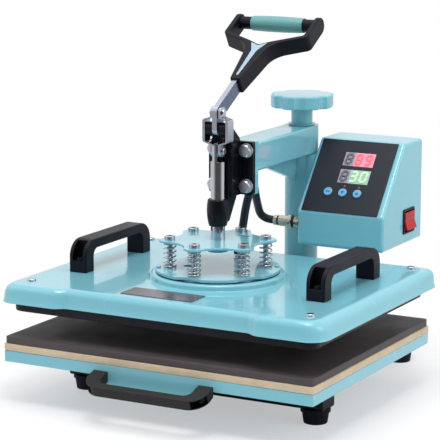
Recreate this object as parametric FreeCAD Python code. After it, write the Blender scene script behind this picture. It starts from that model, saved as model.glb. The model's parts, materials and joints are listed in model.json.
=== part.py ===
import FreeCAD, Part
import math
import os

V = FreeCAD.Vector

# A swing-away heat press with a slide-out tray. It stands on Z = 0 and faces -Y. While it is built,
# X = 0 and Y = 0 is the middle of the mat. At the end every piece moves along Y, so that the origin
# lies under the middle of the whole press. Lengths are in millimetres, angles in degrees.

# Clearances that more than one fit uses
running_fit = 0.05        # radial, a pin or rod that turns or slides in its hole
close_gap = 0.3           # between faces of pieces that move past each other
panel_gap = 0.3           # round a piece that sits in a cut-out
head_rest_gap = 0.1       # between a spring bolt's head and the upper plate

# Base
foot_height = 17.0
foot_top_radius = 16.5
foot_bottom_radius = 13.0
foot_collar = 4.0
front_tube_length = 316.0
rear_tube_length = 266.0
foot_end_inset = 13.0     # from each end of a cross tube to the middle of its foot
tube_depth = 30.0
tube_height = 25.0
tube_wall = 2.0
tube_corner = 3.0
front_tube_y = -50.0
column_setback = 54.0     # the column's axis, behind the mat's rear edge
rear_tube_setback = 27.0  # the rear tube's middle, behind the column's axis
plug_thickness = 2.5
plug_spigot = 6.0
foot_screw_radius = 3.0
foot_screw_head = 5.5
foot_screw_head_height = 3.2
foot_nut_height = 5.0
rail_x = 110.0            # outer face of each angle rail
rail_leg = 20.0
rail_sheet = 2.0
base_flange_width = 90.0
base_flange_front = 30.0   # in front of the column's axis
base_flange_thickness = 5.0
base_shoulder = 2.0       # the ring that the column turns on

# Drawer slides and tray
drawer_space = 17.8       # from the cross tubes up to the tray's underside
slide_length = 200.0
slide_front_y = -60.0
slide_sheet = 1.0
slide_depth = 7.0
slide_play = 0.35         # between the two members of a slide
inner_slide_web = 1.7
bracket_sheet = 1.5
bracket_flange = 15.0
pan_sheet = 1.5
pan_skirt = 12.7
apron_inset = 4.0         # how far the pull handle reaches past each end of the apron
apron_drop = 17.3         # how far the apron hangs below the skirt
mat_width = 380.0
mat_length = 300.0
mat_thickness = 8.0
pad_thickness = 8.0
pad_side_overhang = 1.5   # beyond the mat
pad_end_overhang = 0.5
pan_side_overhang = 0.5   # beyond the mat
mat_corner = 4.0

# Bow handles: the pull handle on the tray and the two on the head
handle_width = 22.4
handle_leg = 17.7
handle_bar = 11.0
handle_shoulder = 20.0
handle_inner_corner = 9.0
well_width = 13.4
well_depth = 12.5
well_floor = 13.0
handle_screw_radius = 2.5
handle_screw_head = 4.5
handle_screw_head_height = 3.0
handle_screw_reach = 5.0
pull_handle_length = 148.0
pull_handle_height = 30.0
pull_handle_drop = 17.6   # its middle, below the tray's top face
head_handle_length = 143.0
head_handle_height = 36.5
head_handle_inset = 50.7  # from the cover's side
head_handle_y = 9.0

# Heating head
head_gap = 27.9           # mat to heating plate, with the press open
head_y = 2.0
plate_side_inset = 3.0    # inside the mat's edge
plate_end_inset = 6.5
heating_plate_thickness = 12.0
heating_plate_corner = 14.0
plate_show = 7.1          # how much of the plate's edge shows under the cover
element_radius = 3.2
element_bend = 18.0
element_post = 10.0
element_side_margin = 22.0
element_end_margin = 31.5
element_near = 35.0
element_inner = 58.0
insulation_thickness = 10.0
insulation_margin = 4.0
cover_side_overhang = 13.0   # beyond the heating plate
cover_end_overhang = 11.5
cover_height = 24.3
cover_sheet = 1.5
cover_corner = 24.0
cover_edge = 9.0
cover_shoulder = 21.0
waist_inset = 87.0        # from the cover's side
waist_depth = 8.0
waist_ramp = 10.0
waist_bend = 11.0
emboss_rim = 5.0          # round the lower plate
emboss_height = 8.2
emboss_edge = 1.4
corner_screw_side_inset = 27.5
corner_screw_end_inset = 25.0
corner_screw_y = 9.0      # the middle of the four
corner_screw_radius = 2.5
corner_screw_head = 5.0
corner_screw_head_height = 2.2
corner_post_radius = 5.0
load_ring_wall = 7.0
name_plate_width = 89.0
name_plate_length = 32.0
name_plate_thickness = 0.8
name_plate_x = -8.5
name_plate_y = -113.0
gland_x = -18.0
gland_y = 82.0
gland_flats = 17.0
gland_flange = 5.0
gland_nut = 3.0
gland_height = 14.0
gland_radius = 7.5
gland_stem = 5.0

# Pressure pack: lower plate, upper plate, bolts and springs
press_axis_y = -5.0
lower_plate_radius = 70.0
lower_plate_thickness = 3.0
lower_notch_reach = 63.0
lower_notch_radius = 30.0
lower_notch_turns = (90, 150, 270, 330)
lower_hole_radius = 5.5
lower_hole_x = 32.0
lower_hole_y = -11.0
plate_screw_radius = 1.5
plate_screw_head = 2.8
plate_screw_head_height = 1.5
plate_screw_length = 12.0
bolt_circle = 53.6
bolt_count = 6
bolt_start = 30.0         # the first bolt's place round the axis, from +X
bolt_radius = 3.0
bolt_head_radius = 6.0
bolt_head_height = 4.2
bolt_socket = 5.0
bolt_socket_depth = 2.4
spring_room = 29.2        # between the two plates, with the press open
spring_wire = 2.0
spring_diameter = 15.0
spring_turns = 5.5
spring_end_gap = 0.2
upper_plate_thickness = 2.5
upper_lobe_radius = 12.0
upper_waist_radius = 49.0
upper_slot_x = 16.0
upper_slot_y = 31.0
upper_slot_width = 9.0
upper_slot_length = 16.0
hub_radius = 12.0
hub_floor = 2.0           # under the rod's end
spring_travel = 8.4

# Toggle and casting. Heights are above the mat.
rod_radius = 8.0
rod_end = 7.0             # above the link pin
rod_seat = 9.0
rod_flat_height = 18.8    # how far down its two flats reach
fulcrum_height = 227.0
crank = 18.0              # fulcrum pin to lever pin
link_length = 43.0        # lever pin to link pin
lever_pitch = 30.0        # the lever's slope above the horizontal
lever_thickness = 6.0
lever_half_width = 8.0
lever_in_yoke = 45.0
link_half_width = 6.5
link_thickness = 3.2
link_side_gap = 0.5       # between a link and the casting's cheek
link_wide_low = 14.0      # below the fulcrum
link_wide_high = 9.7      # above the fulcrum
link_ramp = 3.2
link_bend = 0.6           # how much later the outer face bends
pin_radius = 3.5
pin_head_radius = 4.2
pin_head_height = 2.4
cheek_radius = 7.0
cheek_outer = 12.5
lever_side_gap = 0.5      # between the lever and each cheek
guide_bottom = 117.7
guide_height = 30.3
guide_top_radius = 11.2
guide_mid_radius = 12.4
guide_bottom_radius = 9.9
flange_low = 149.6
flange_height = 60.2
flange_half_width = 28.0
flange_front = 30.0       # its front face, behind the plunger's axis
flange_thickness = 6.0
flange_corner = 3.0
casting_front = 9.5       # the casting's front face, behind the plunger's axis
nose_half_width = 8.0
clamp_bolt_x = 20.0
clamp_bolt_inset = 9.9
clamp_bolt_radius = 4.0
clamp_bolt_flats = 13.0
clamp_bolt_head = 5.3
clamp_washer_radius = 8.25
clamp_washer_thickness = 1.6
spot_face_gap = 0.35
clamp_bolt_chamfer = 1.2
clamp_bolt_top = 12.2     # across the flat circle on the head's end
cheek_shoulder = 4.0      # how far the cheeks' slopes start beside the boss and above the flange
nose_step = 8.0           # how far the web to the guide runs up the flange
casting_lap = 1.0         # how far the casting's forms run into each other
guide_waist = 0.62        # where the guide is widest, as a share of its length
guide_edge = 1.2

# Handle yoke, in the lever's own frame: along the lever from the lever pin, and across it
yoke_start = 50.0
yoke_half_thickness = 10.0
yoke_stem_width = 12.0
yoke_fork = 118.0
yoke_fork_width = 29.0
yoke_fork_bend = 26.0
yoke_crotch = 116.5       # the bottom of the inner V
yoke_knee = 7.5           # of the inner side's knees above the crotch
yoke_corner = 135.0
yoke_corner_bend = 7.0
yoke_half_width = 54.0
yoke_arm = 6.0
yoke_edge = 1.2
grip_along = 169.5
grip_half_length = 33.0
grip_radius = 8.6
grip_belly = 9.3
ferrule_radius = 7.4
grip_rod_radius = 4.0
grip_rod_in_arm = 4.0
inlay_margin = 7.0        # from the stem's end
inlay_foot = 1.4          # half widths
inlay_neck = 3.4
inlay_ear = 10.5
inlay_ear_rise = 5.5      # of its tips above its middle
inlay_thickness = 1.0

# Arm and column
column_radius = 20.0
column_wall = 2.5
column_cap = 4.0
bush_length = 25.0
shaft_radius = 15.0
shaft_top_gap = 3.0
beam_top = 205.0          # above the mat
beam_height = 33.0
beam_half_width = 20.0
beam_wall = 2.5
end_plate_thickness = 7.4
gusset_thickness = 6.0
gusset_length = 92.0
gusset_drop = 32.0
knob_radius = 37.5
knob_thickness = 16.0
knob_lobes = 8
knob_scallop = 9.0
knob_scallop_depth = 3.6
knob_edge = 2.5
knob_neck_radius = 12.8
knob_neck_height = 19.0
knob_washer_radius = 16.0
knob_washer_thickness = 2.0
stud_radius = 6.0
stud_in_knob = 25.0
stud_in_shaft = 30.0

# Control box on the column's right
box_gap = 4.0             # between the column and the box
box_width = 110.0
box_front = 59.0          # its front wall, before the column's axis
box_depth = 110.0
box_bottom = 71.0         # above the mat
box_height = 120.0
box_front_height = 41.0
box_top_depth = 48.0
box_wall = 1.5
box_corner = 5.0
box_side_edge = 4.0
box_inner_edge = 1.0
box_boss = 9.0
back_cover_thickness = 1.5
back_screw_radius = 1.6
back_screw_head = 3.0
back_screw_head_height = 1.6
back_screw_length = 8.0
bracket_half_depth = 15.0
bracket_height = 80.0
bracket_reach = 8.0       # how far it reaches round the column's side
bracket_screw_radius = 2.5
bracket_screw_head = 4.5
bracket_screw_head_height = 3.0
bracket_screw_inset = 10.0
bracket_screw_pitch = 16.0
panel_side_margin = 6.5
panel_end_margin = 1.9    # below the slope's upper edge
panel_thickness = 1.2
panel_offset_x = -1.5
panel_start = 1.5         # up the slope, from its lower edge
panel_corner = 0.8
window_margin = 9.0
board_depth = 12.0        # behind the panel
board_thickness = 1.6
board_post_radius = 3.0
display_width = 38.5
display_height = 18.0
display_proud = 1.6
display_x = 5.4
temperature_along = 73.3
timer_along = 50.2
button_radius = 5.3
button_flange = 6.6
button_flange_thickness = 1.5
button_proud = 1.6
button_travel = 0.8
button_pitch = 18.7
button_x = -2.8
button_along = 28.2
button_stop_gap = 0.15
key_width = 6.0
key_height = 5.0
key_stem_radius = 1.7
lamp_radius = 1.3
lamp_along = 36.8
lamp_proud = 0.4
switch_width = 32.0
switch_height = 29.5
switch_rim = 2.4
switch_lip = 1.6
switch_depth = 20.0
switch_wall = 1.2
switch_inset = 37.0       # from the back
switch_level = 98.0       # above the mat
rocker_tilt = 9.0
rocker_half_height = 11.0
rocker_rise = 4.2
rocker_dip = 2.4
rocker_pin_radius = 1.5
rocker_pin_reach = 0.6
rocker_root = 4.0
socket_inset = 10.0       # from the front wall
socket_level = 96.0       # above the mat
socket_radius = 6.0
socket_flange_radius = 8.4
socket_flange_thickness = 3.5
socket_neck_radius = 7.0
socket_neck = 3.5
socket_inside = 14.0
socket_nut = 3.0
socket_nut_radius = 7.4
plug_length = 28.0
plug_body_radius = 6.6
plug_ring_radius = 8.2
plug_nut_radius = 6.0
plug_nut_length = 5.0
plug_waist_length = 1.4
plug_waist_wall = 0.4
plug_ring_length = 4.5
plug_collar_length = 3.5     # between the ring and the socket
plug_collar_radius = 6.9
plug_step = 0.6           # the slopes between its diameters
plug_ring_bevel = 1.0
plug_lead = 7.6           # the cable's straight run into the plug
inlet_inset = 46.0        # from the right side
inlet_level = 96.0        # above the mat
inlet_flange_width = 50.0
inlet_flange_height = 24.0
inlet_flange_thickness = 2.5
inlet_width = 27.0
inlet_height = 20.0
inlet_body = 22.0
inlet_wall = 2.2
inlet_cavity = 17.0
inlet_key = 4.0           # the two cut corners of the socket
inlet_pin_length = 11.0
inlet_pin_root = 4.0
inlet_pin_thickness = 2.0
inlet_pin_width = 4.0
inlet_pin_pitch = 14.0    # between the two outer pins
inlet_pin_low = 1.5       # the outer pins, below the middle
inlet_pin_high = 2.5      # the middle pin, above the middle
inlet_screw_inset = 5.5
inlet_ear_length = 9.0
inlet_ear_height = 14.4
inlet_ear_corner = 5.0
inlet_shoulder_corner = 3.0
cable_radius = 4.75

# The cable's bends between the gland and the plug: X, Y and the height above the mat
cable_route = [
    (-18.0, 82.0, 86.0),
    (-9.4, 72.0, 101.6),
    (-3.5, 68.0, 128.0),
    (6.0, 66.0, 157.0),
    (-11.0, 98.0, 163.0),
    (-17.0, 117.0, 133.0),
    (-24.2, 137.2, 115.6),
    (-26.8, 147.2, 104.4),
    (-24.6, 151.9, 99.2),
]

# Widths and places worked out from the sizes above
pad_width = mat_width + 2 * pad_side_overhang
pad_length = mat_length + 2 * pad_end_overhang
pan_width = mat_width + 2 * pan_side_overhang
pan_length = mat_length
apron_width = pull_handle_length - 2 * apron_inset
column_y = mat_length / 2 + column_setback
rear_tube_y = column_y + rear_tube_setback
heating_plate_width = mat_width - 2 * plate_side_inset
heating_plate_length = mat_length - 2 * plate_end_inset
cover_width = heating_plate_width + 2 * cover_side_overhang
cover_length = heating_plate_length + 2 * cover_end_overhang
waist_half_length = cover_width / 2 - waist_inset
head_handle_x = cover_width / 2 - head_handle_inset
corner_screw_x = cover_width / 2 - corner_screw_side_inset
corner_screw_pitch = cover_length - 2 * corner_screw_end_inset
element_left = heating_plate_width / 2 - element_side_margin
element_mid = (element_left + element_near) / 2
element_reach = heating_plate_length / 2 - element_end_margin
emboss_radius = lower_plate_radius + emboss_rim
load_ring_radius = lower_plate_radius
plate_screw_circle = load_ring_radius - load_ring_wall / 2
link_narrow = lever_thickness / 2 + close_gap
link_wide = cheek_outer + link_side_gap
cheek_slot = lever_thickness + 2 * lever_side_gap
inlay_start = yoke_start + inlay_margin

# Levels and planes worked out from the sizes above
tube_top = foot_height + tube_height
pan_underside = tube_top + drawer_space
pan_top = pan_underside + pan_sheet
pad_top = pan_top + pad_thickness
mat_top = pad_top + mat_thickness
plate_low = mat_top + head_gap
plate_high = plate_low + heating_plate_thickness
cover_low = plate_low + plate_show
cover_top = cover_low + cover_height
cover_underside = cover_top - cover_sheet
emboss_top = cover_top + emboss_height
lower_plate_top = emboss_top + lower_plate_thickness
upper_plate_low = lower_plate_top + spring_room
upper_plate_top = upper_plate_low + upper_plate_thickness
fulcrum_z = mat_top + fulcrum_height
lever_pin_z = fulcrum_z + crank
link_pin_z = lever_pin_z - link_length
rod_top_z = link_pin_z + rod_end
guide_low = mat_top + guide_bottom
guide_high = guide_low + guide_height
flange_low_z = mat_top + flange_low
flange_high_z = flange_low_z + flange_height
beam_high = mat_top + beam_top
beam_low = beam_high - beam_height
flange_front_y = press_axis_y + flange_front
flange_back_y = flange_front_y + flange_thickness
end_plate_back_y = flange_back_y + end_plate_thickness
column_low = tube_top + base_flange_thickness + base_shoulder + close_gap
column_front_y = column_y - column_radius
shaft_high = beam_high - column_cap - shaft_top_gap
washer_top = beam_high + close_gap + knob_washer_thickness
knob_low = washer_top + knob_neck_height
stud_high = washer_top + stud_in_knob
box_x0 = column_radius + box_gap
box_x1 = box_x0 + box_width
box_y0 = column_y - box_front
box_y1 = box_y0 + box_depth
box_z0 = mat_top + box_bottom
box_z1 = box_z0 + box_height
slope_low_z = box_z0 + box_front_height
slope_high_y = box_y1 - box_top_depth
slope_angle = math.degrees(math.atan2(box_z1 - slope_low_z, slope_high_y - box_y0))
bracket_screw_tip = column_radius + close_gap
plug_x0 = box_x0 - socket_flange_thickness - socket_neck - plug_length
panel_x = (box_x0 + box_x1) / 2 + panel_offset_x
panel_width = box_width - 2 * panel_side_margin
panel_length = math.hypot(box_z1 - slope_low_z, slope_high_y - box_y0) - panel_start - panel_end_margin
switch_y = box_y1 - switch_inset
switch_z = mat_top + switch_level
socket_y = box_y0 + socket_inset
socket_z = mat_top + socket_level
inlet_x = box_x1 - inlet_inset
inlet_z = mat_top + inlet_level
apron_front_y = -pan_length / 2
front_y = apron_front_y - pull_handle_height
inlet_face_y = box_y1 + inlet_flange_thickness
back_y = inlet_face_y + back_screw_head_height
shift_y = -(front_y + back_y) / 2


def box(x0, x1, y0, y1, z0, z1):
    """Block between two corners."""
    return Part.makeBox(x1 - x0, y1 - y0, z1 - z0, V(x0, y0, z0))


def post(x, y, z0, z1, radius):
    """Round bar along Z."""
    return Part.makeCylinder(radius, z1 - z0, V(x, y, z0))


def rod_x(y, z, x0, x1, radius):
    """Round bar along X."""
    return Part.makeCylinder(radius, x1 - x0, V(x0, y, z), V(1, 0, 0))


def rod_y(x, z, y0, y1, radius):
    """Round bar along Y."""
    return Part.makeCylinder(radius, y1 - y0, V(x, y0, z), V(0, 1, 0))


def outline(points):
    """Closed outline in the XY plane. A third number on a point is the radius of that corner."""
    turns = []
    count = len(points)
    for i, point in enumerate(points):
        here = V(point[0], point[1], 0)
        if len(point) == 2:
            turns.append((here, None, here))
            continue
        back = V(points[i - 1][0], points[i - 1][1], 0) - here
        ahead = V(points[(i + 1) % count][0], points[(i + 1) % count][1], 0) - here
        back.normalize()
        ahead.normalize()
        half_angle = back.getAngle(ahead) / 2
        reach = point[2] / math.tan(half_angle)
        middle = back + ahead
        middle.normalize()
        inset = point[2] / math.sin(half_angle) - point[2]
        turns.append((here + back * reach, here + middle * inset, here + ahead * reach))
    edges = []
    for i, (enter, middle, leave) in enumerate(turns):
        if middle is not None:
            edges.append(Part.Arc(enter, middle, leave).toShape())
        following = turns[(i + 1) % count][0]
        if leave.distanceToPoint(following) > 1e-6:
            edges.append(Part.LineSegment(leave, following).toShape())
    return Part.Wire(edges)


def prism_z(points, z0, z1):
    """Outline of (x, y) points made solid from z0 to z1."""
    solid = Part.Face(outline(points)).extrude(V(0, 0, z1 - z0))
    solid.translate(V(0, 0, z0))
    return solid


def prism_x(points, x0, x1):
    """Outline of (y, z) points made solid from x0 to x1."""
    solid = prism_z(points, x0, x1)
    solid.rotate(V(0, 0, 0), V(1, 1, 1), 120)
    return solid


def prism_y(points, y0, y1):
    """Outline of (x, z) points made solid from y0 to y1."""
    solid = prism_z(points, -y1, -y0)
    solid.rotate(V(0, 0, 0), V(1, 0, 0), 90)
    return solid


def rectangle(x0, x1, y0, y1, corner=None):
    """Four points of a rectangle, with its corners rounded if a radius is given."""
    corners = [(x0, y0), (x1, y0), (x1, y1), (x0, y1)]
    if corner is None:
        return corners
    return [(x, y, corner) for x, y in corners]


def hexagon(x, y, flats, z0, z1):
    """Upright hexagonal bar."""
    reach = flats / math.sqrt(3)
    turns = [math.radians(60 * k) for k in range(6)]
    return prism_z([(x + reach * math.cos(t), y + reach * math.sin(t)) for t in turns], z0, z1)


def turned(profile, x, y):
    """Solid of revolution about an upright axis, from (radius, z) points."""
    face = Part.Face(Part.makePolygon([V(r, 0, z) for r, z in profile + profile[:1]]))
    solid = face.revolve(V(0, 0, 0), V(0, 0, 1), 360)
    solid.translate(V(x, y, 0))
    return solid


def barrel(z0, z1, low_radius, mid_radius, high_radius, share):
    """Upright round body whose side is one arc. Its middle radius lies at the given share of its height."""
    low, high = V(low_radius, 0, z0), V(high_radius, 0, z1)
    middle = V(mid_radius, 0, z0 + share * (z1 - z0))
    edges = [Part.LineSegment(V(0, 0, z0), low).toShape(), Part.Arc(low, middle, high).toShape(),
             Part.LineSegment(high, V(0, 0, z1)).toShape(),
             Part.LineSegment(V(0, 0, z1), V(0, 0, z0)).toShape()]
    return Part.Face(Part.Wire(edges)).revolve(V(0, 0, 0), V(0, 0, 1), 360)


def lies_at(edge, axis, value):
    """Whether an edge lies in the plane where one coordinate has the given value."""
    low = (edge.BoundBox.XMin, edge.BoundBox.YMin, edge.BoundBox.ZMin)[axis]
    high = (edge.BoundBox.XMax, edge.BoundBox.YMax, edge.BoundBox.ZMax)[axis]
    return abs(low - value) < 1e-3 and abs(high - value) < 1e-3


def rounded(solid, radius, axis, *values):
    """Solid with the edges that lie in the named planes rounded."""
    edges = [edge for edge in solid.Edges if any(lies_at(edge, axis, value) for value in values)]
    return solid.makeFillet(radius, edges)


def both_sides(solid):
    """The solid and its mirror image across X = 0."""
    return [solid, solid.mirror(V(0, 0, 0), V(1, 0, 0))]


def moved(solid, x, y, z):
    """Copy of a solid at another place."""
    copy = solid.copy()
    copy.translate(V(x, y, z))
    return copy


def on_lever(solid):
    """Place a solid that is built as X, along the lever and across it, with the lever pin at 0."""
    placed = solid.copy()
    placed.rotate(V(0, 0, 0), V(1, 0, 0), lever_pitch)
    placed.translate(V(0, press_axis_y, lever_pin_z))
    return placed


def on_slope(solid):
    """Place a solid that is built as X, up the sloped face and out of it."""
    placed = solid.copy()
    placed.rotate(V(0, 0, 0), V(1, 0, 0), slope_angle)
    placed.translate(V(panel_x, box_y0, slope_low_z))
    return placed


def angle_points(radius, count, first):
    """Points spaced evenly round a circle, the first at the given angle."""
    steps = [math.radians(first + 360.0 * k / count) for k in range(count)]
    return [(radius * math.cos(t), radius * math.sin(t)) for t in steps]


def tube_along(path, radius):
    """Round bar along a path of straight runs and arcs."""
    start = path.Edges[0]
    first = start.valueAt(start.FirstParameter)
    tangent = start.tangentAt(start.FirstParameter)
    ring = Part.Wire([Part.makeCircle(radius, first, tangent)])
    return path.makePipeShell([ring], True, False)


def bent_path(points, radii):
    """Path of straight runs joined by tangent arcs with the given radii."""
    places = [V(*point) for point in points]
    edges = []
    leave = places[0]
    for before, here, after, radius in zip(places, places[1:], places[2:], radii):
        back = (before - here).normalize()
        ahead = (after - here).normalize()
        half_angle = back.getAngle(ahead) / 2
        reach = radius / math.tan(half_angle)
        inset = radius / math.sin(half_angle) - radius
        enter = here + back * reach
        middle = here + (back + ahead).normalize() * inset
        edges.append(Part.LineSegment(leave, enter).toShape())
        leave = here + ahead * reach
        edges.append(Part.Arc(enter, middle, leave).toShape())
    edges.append(Part.LineSegment(leave, places[-1]).toShape())
    return Part.Wire(edges)


def widest_radii(points):
    """Largest arc that the two runs beside each inner point allow."""
    places = [V(*point) for point in points]
    radii = []
    for before, here, after in zip(places, places[1:], places[2:]):
        shorter = min(before.distanceToPoint(here), here.distanceToPoint(after))
        turn = math.pi - (before - here).getAngle(after - here)
        radii.append(0.45 * shorter / math.tan(turn / 2))
    return radii


# Base

def cross_tube(y, length):
    half = length / 2
    outer = rectangle(y - tube_depth / 2, y + tube_depth / 2, foot_height, tube_top, tube_corner)
    inner = rectangle(y - tube_depth / 2 + tube_wall, y + tube_depth / 2 - tube_wall,
                      foot_height + tube_wall, tube_top - tube_wall, tube_corner - tube_wall)
    tube = prism_x(outer, -half, half).cut(prism_x(inner, -half, half))
    for x in (foot_end_inset - half, half - foot_end_inset):
        tube = tube.cut(post(x, y, foot_height, foot_height + tube_wall, foot_screw_radius))
    return tube


def tube_plug(y, length):
    half = length / 2
    cap = rectangle(y - tube_depth / 2, y + tube_depth / 2, foot_height, tube_top, tube_corner)
    cap = rounded(prism_x(cap, half, half + plug_thickness), 1.0, 0, half + plug_thickness)
    inset = tube_wall + panel_gap / 2
    spigot = rectangle(y - tube_depth / 2 + inset, y + tube_depth / 2 - inset, foot_height + inset,
                       tube_top - inset, tube_corner - tube_wall)
    return cap.fuse(prism_x(spigot, half - plug_spigot, half))


def rubber_foot(x, y):
    collar_low = foot_height - foot_collar
    foot = turned([(0, 0), (foot_bottom_radius, 0), (foot_top_radius - 1.5, collar_low),
                   (foot_top_radius, collar_low), (foot_top_radius, foot_height), (0, foot_height)], x, y)
    foot = rounded(foot, 1.0, 2, 0.0)
    well = post(x, y, 0, foot_height / 2, foot_screw_head + panel_gap)
    return foot.cut(well).cut(post(x, y, 0, foot_height, foot_screw_radius))


def foot_fastener(x, y):
    seat = foot_height / 2
    nut_low = foot_height + tube_wall
    head = post(x, y, seat - foot_screw_head_height, seat, foot_screw_head)
    shank = post(x, y, seat, nut_low + foot_nut_height + 1.0, foot_screw_radius)
    nut = hexagon(x, y, 2 * foot_screw_head, nut_low, nut_low + foot_nut_height)
    return [head.fuse(shank), nut.cut(shank)]


def side_rail():
    y0 = front_tube_y - tube_depth / 2
    y1 = rear_tube_y + tube_depth / 2
    low = rectangle(rail_x - rail_leg, rail_x, tube_top, tube_top + rail_sheet)
    up = rectangle(rail_x - rail_sheet, rail_x, tube_top, pan_underside - 2 * close_gap)
    return prism_y(low, y0, y1).fuse(prism_y(up, y0, mat_length / 2)).removeSplitter()


def slide_levels():
    return tube_top + close_gap, pan_underside - 2 * close_gap


def slide_outer():
    low, high = slide_levels()
    y0, y1 = slide_front_y, slide_front_y + slide_length
    block = box(rail_x, rail_x + slide_depth, y0, y1, low, high)
    hollow = box(rail_x + slide_sheet, rail_x + slide_depth, y0, y1, low + slide_sheet, high - slide_sheet)
    return block.cut(hollow)


def slide_inner():
    """Moving member of a slide, with the bent bracket that carries the tray welded to its back."""
    low, high = slide_levels()
    low += slide_sheet + slide_play
    high -= slide_sheet + slide_play
    x0 = rail_x + slide_sheet + slide_play
    x1 = rail_x + slide_depth + close_gap + inner_slide_web
    y0, y1 = slide_front_y, slide_front_y + slide_length
    block = box(x0, x1, y0, y1, low, high)
    hollow = box(x0, x1 - inner_slide_web, y0, y1, low + slide_sheet, high - slide_sheet)
    leg = box(x1, x1 + bracket_sheet, y0, y1, low, pan_underside)
    flange = box(x1, x1 + bracket_flange, y0, y1, pan_underside - bracket_sheet, pan_underside)
    return block.cut(hollow).fuse(leg).fuse(flange).removeSplitter()


# Tray

def tray_pan():
    half_width, half_length = pan_width / 2, pan_length / 2
    skirt_low = pan_top - pan_skirt
    shell = box(-half_width, half_width, -half_length, half_length, skirt_low, pan_top)
    inside = box(-half_width + pan_sheet, half_width - pan_sheet, -half_length + pan_sheet,
                 half_length - pan_sheet, skirt_low, pan_underside)
    apron = box(-apron_width / 2, apron_width / 2, -half_length, -half_length + pan_sheet,
                skirt_low - apron_drop, pan_top)
    pan = shell.cut(inside).fuse(apron).removeSplitter()
    notch_x0 = rail_x - rail_leg - 3 * close_gap
    notch_x1 = rail_x + slide_depth + inner_slide_web + bracket_sheet + 4 * close_gap
    notch = box(notch_x0, notch_x1, half_length - 2 * pan_sheet, half_length, skirt_low, pan_underside)
    for piece in both_sides(notch):
        pan = pan.cut(piece)
    for x in handle_screw_places(pull_handle_length):
        pan = pan.cut(rod_y(x, pull_handle_z(), -half_length, -half_length + pan_sheet, handle_screw_radius))
    return rounded(pan, 0.8, 2, pan_top)


def pull_handle_z():
    return pan_top - pull_handle_drop


def backing_pad():
    plan = rectangle(-pad_width / 2, pad_width / 2, -pad_length / 2, pad_length / 2, mat_corner)
    return prism_z(plan, pan_top, pad_top)


def silicone_mat():
    plan = rectangle(-mat_width / 2, mat_width / 2, -mat_length / 2, mat_length / 2, mat_corner)
    return rounded(prism_z(plan, pad_top, mat_top), 0.8, 2, mat_top)


# Bow handles, built along X on the plane Z = 0

def handle_screw_places(length):
    inset = well_depth / 2 + 0.5
    return (-length / 2 + inset, length / 2 - inset)


def bow_handle(length, height):
    half = length / 2
    foot = half - handle_leg
    under = height - handle_bar
    profile = [(-half, 0), (-foot, 0), (-foot, under, handle_inner_corner),
               (foot, under, handle_inner_corner), (foot, 0), (half, 0),
               (half, height, handle_shoulder), (-half, height, handle_shoulder)]
    bow = prism_y(profile, -handle_width / 2, handle_width / 2)
    bow = rounded(bow, 1.6, 1, -handle_width / 2, handle_width / 2)
    for x in handle_screw_places(length):
        outward = math.copysign(1, x)
        well = box(half - well_depth, half + 1, -well_width / 2, well_width / 2, well_floor, height + 1)
        if outward < 0:
            well = well.mirror(V(0, 0, 0), V(1, 0, 0))
        bow = bow.cut(well).cut(post(x, 0, 0, well_floor, handle_screw_radius))
    return bow


def handle_screws(length, through):
    screws = []
    for x in handle_screw_places(length):
        head = post(x, 0, well_floor, well_floor + handle_screw_head_height, handle_screw_head)
        shank = post(x, 0, -through - handle_screw_reach, well_floor, handle_screw_radius)
        screws.append(head.fuse(shank))
    return screws


def on_apron(solid):
    placed = solid.copy()
    placed.rotate(V(0, 0, 0), V(1, 0, 0), 90)
    placed.translate(V(0, apron_front_y, pull_handle_z()))
    return placed


def on_cover(solid, x):
    placed = solid.copy()
    placed.rotate(V(0, 0, 0), V(0, 0, 1), 90)
    placed.translate(V(x, head_handle_y, cover_top))
    return placed


# Heating head

def head_corner_places():
    half = corner_screw_pitch / 2
    return [(x, corner_screw_y + y) for x in (-corner_screw_x, corner_screw_x) for y in (-half, half)]


def element_path():
    """Route of the heating element: six upright runs across the plate, its two ends turned up."""
    left, mid, near = element_left, element_mid, element_near
    rear, front, inner = head_y + element_reach, head_y - element_reach, head_y + element_inner
    level = plate_low + heating_plate_thickness / 2
    top = plate_high + element_post
    half = [(-near, rear, top), (-near, rear, level), (-left, rear, level), (-left, front, level),
            (-mid, front, level), (-mid, inner, level), (-near, inner, level), (-near, front, level)]
    points = half + [(-x, y, z) for x, y, z in reversed(half)]
    radii = [element_radius * 1.25] + [element_bend] * (len(points) - 4) + [element_radius * 1.25]
    return bent_path(points, radii)


def heating_plate(element):
    plan = rectangle(-heating_plate_width / 2, heating_plate_width / 2, head_y - heating_plate_length / 2,
                     head_y + heating_plate_length / 2, heating_plate_corner)
    plate = rounded(prism_z(plan, plate_low, plate_high), 1.5, 2, plate_low)
    return plate.cut(element)


def insulation_pad():
    inset = insulation_margin
    plan = rectangle(-heating_plate_width / 2 + inset, heating_plate_width / 2 - inset,
                     head_y - heating_plate_length / 2 + inset,
                     head_y + heating_plate_length / 2 - inset, heating_plate_corner - inset)
    pad = prism_z(plan, plate_high, plate_high + insulation_thickness)
    top = plate_high + insulation_thickness
    pad = pad.cut(post(0, press_axis_y, plate_high, top, load_ring_radius + close_gap))
    for x, y in head_corner_places():
        pad = pad.cut(post(x, y, plate_high, top, corner_post_radius + close_gap))
    for x in (-element_near, element_near):
        pad = pad.cut(post(x, head_y + element_reach, plate_high, top, element_radius + close_gap))
    return pad


def load_ring():
    high = emboss_top - cover_sheet
    ring = post(0, press_axis_y, plate_high, high, load_ring_radius)
    ring = ring.cut(post(0, press_axis_y, plate_high, high, load_ring_radius - load_ring_wall))
    for screw in plate_screws():
        ring = ring.cut(screw)
    return ring


def corner_post(x, y):
    stud = post(x, y, plate_high, cover_underside, corner_post_radius)
    return stud.cut(post(x, y, plate_high, cover_underside, corner_screw_radius))


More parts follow.
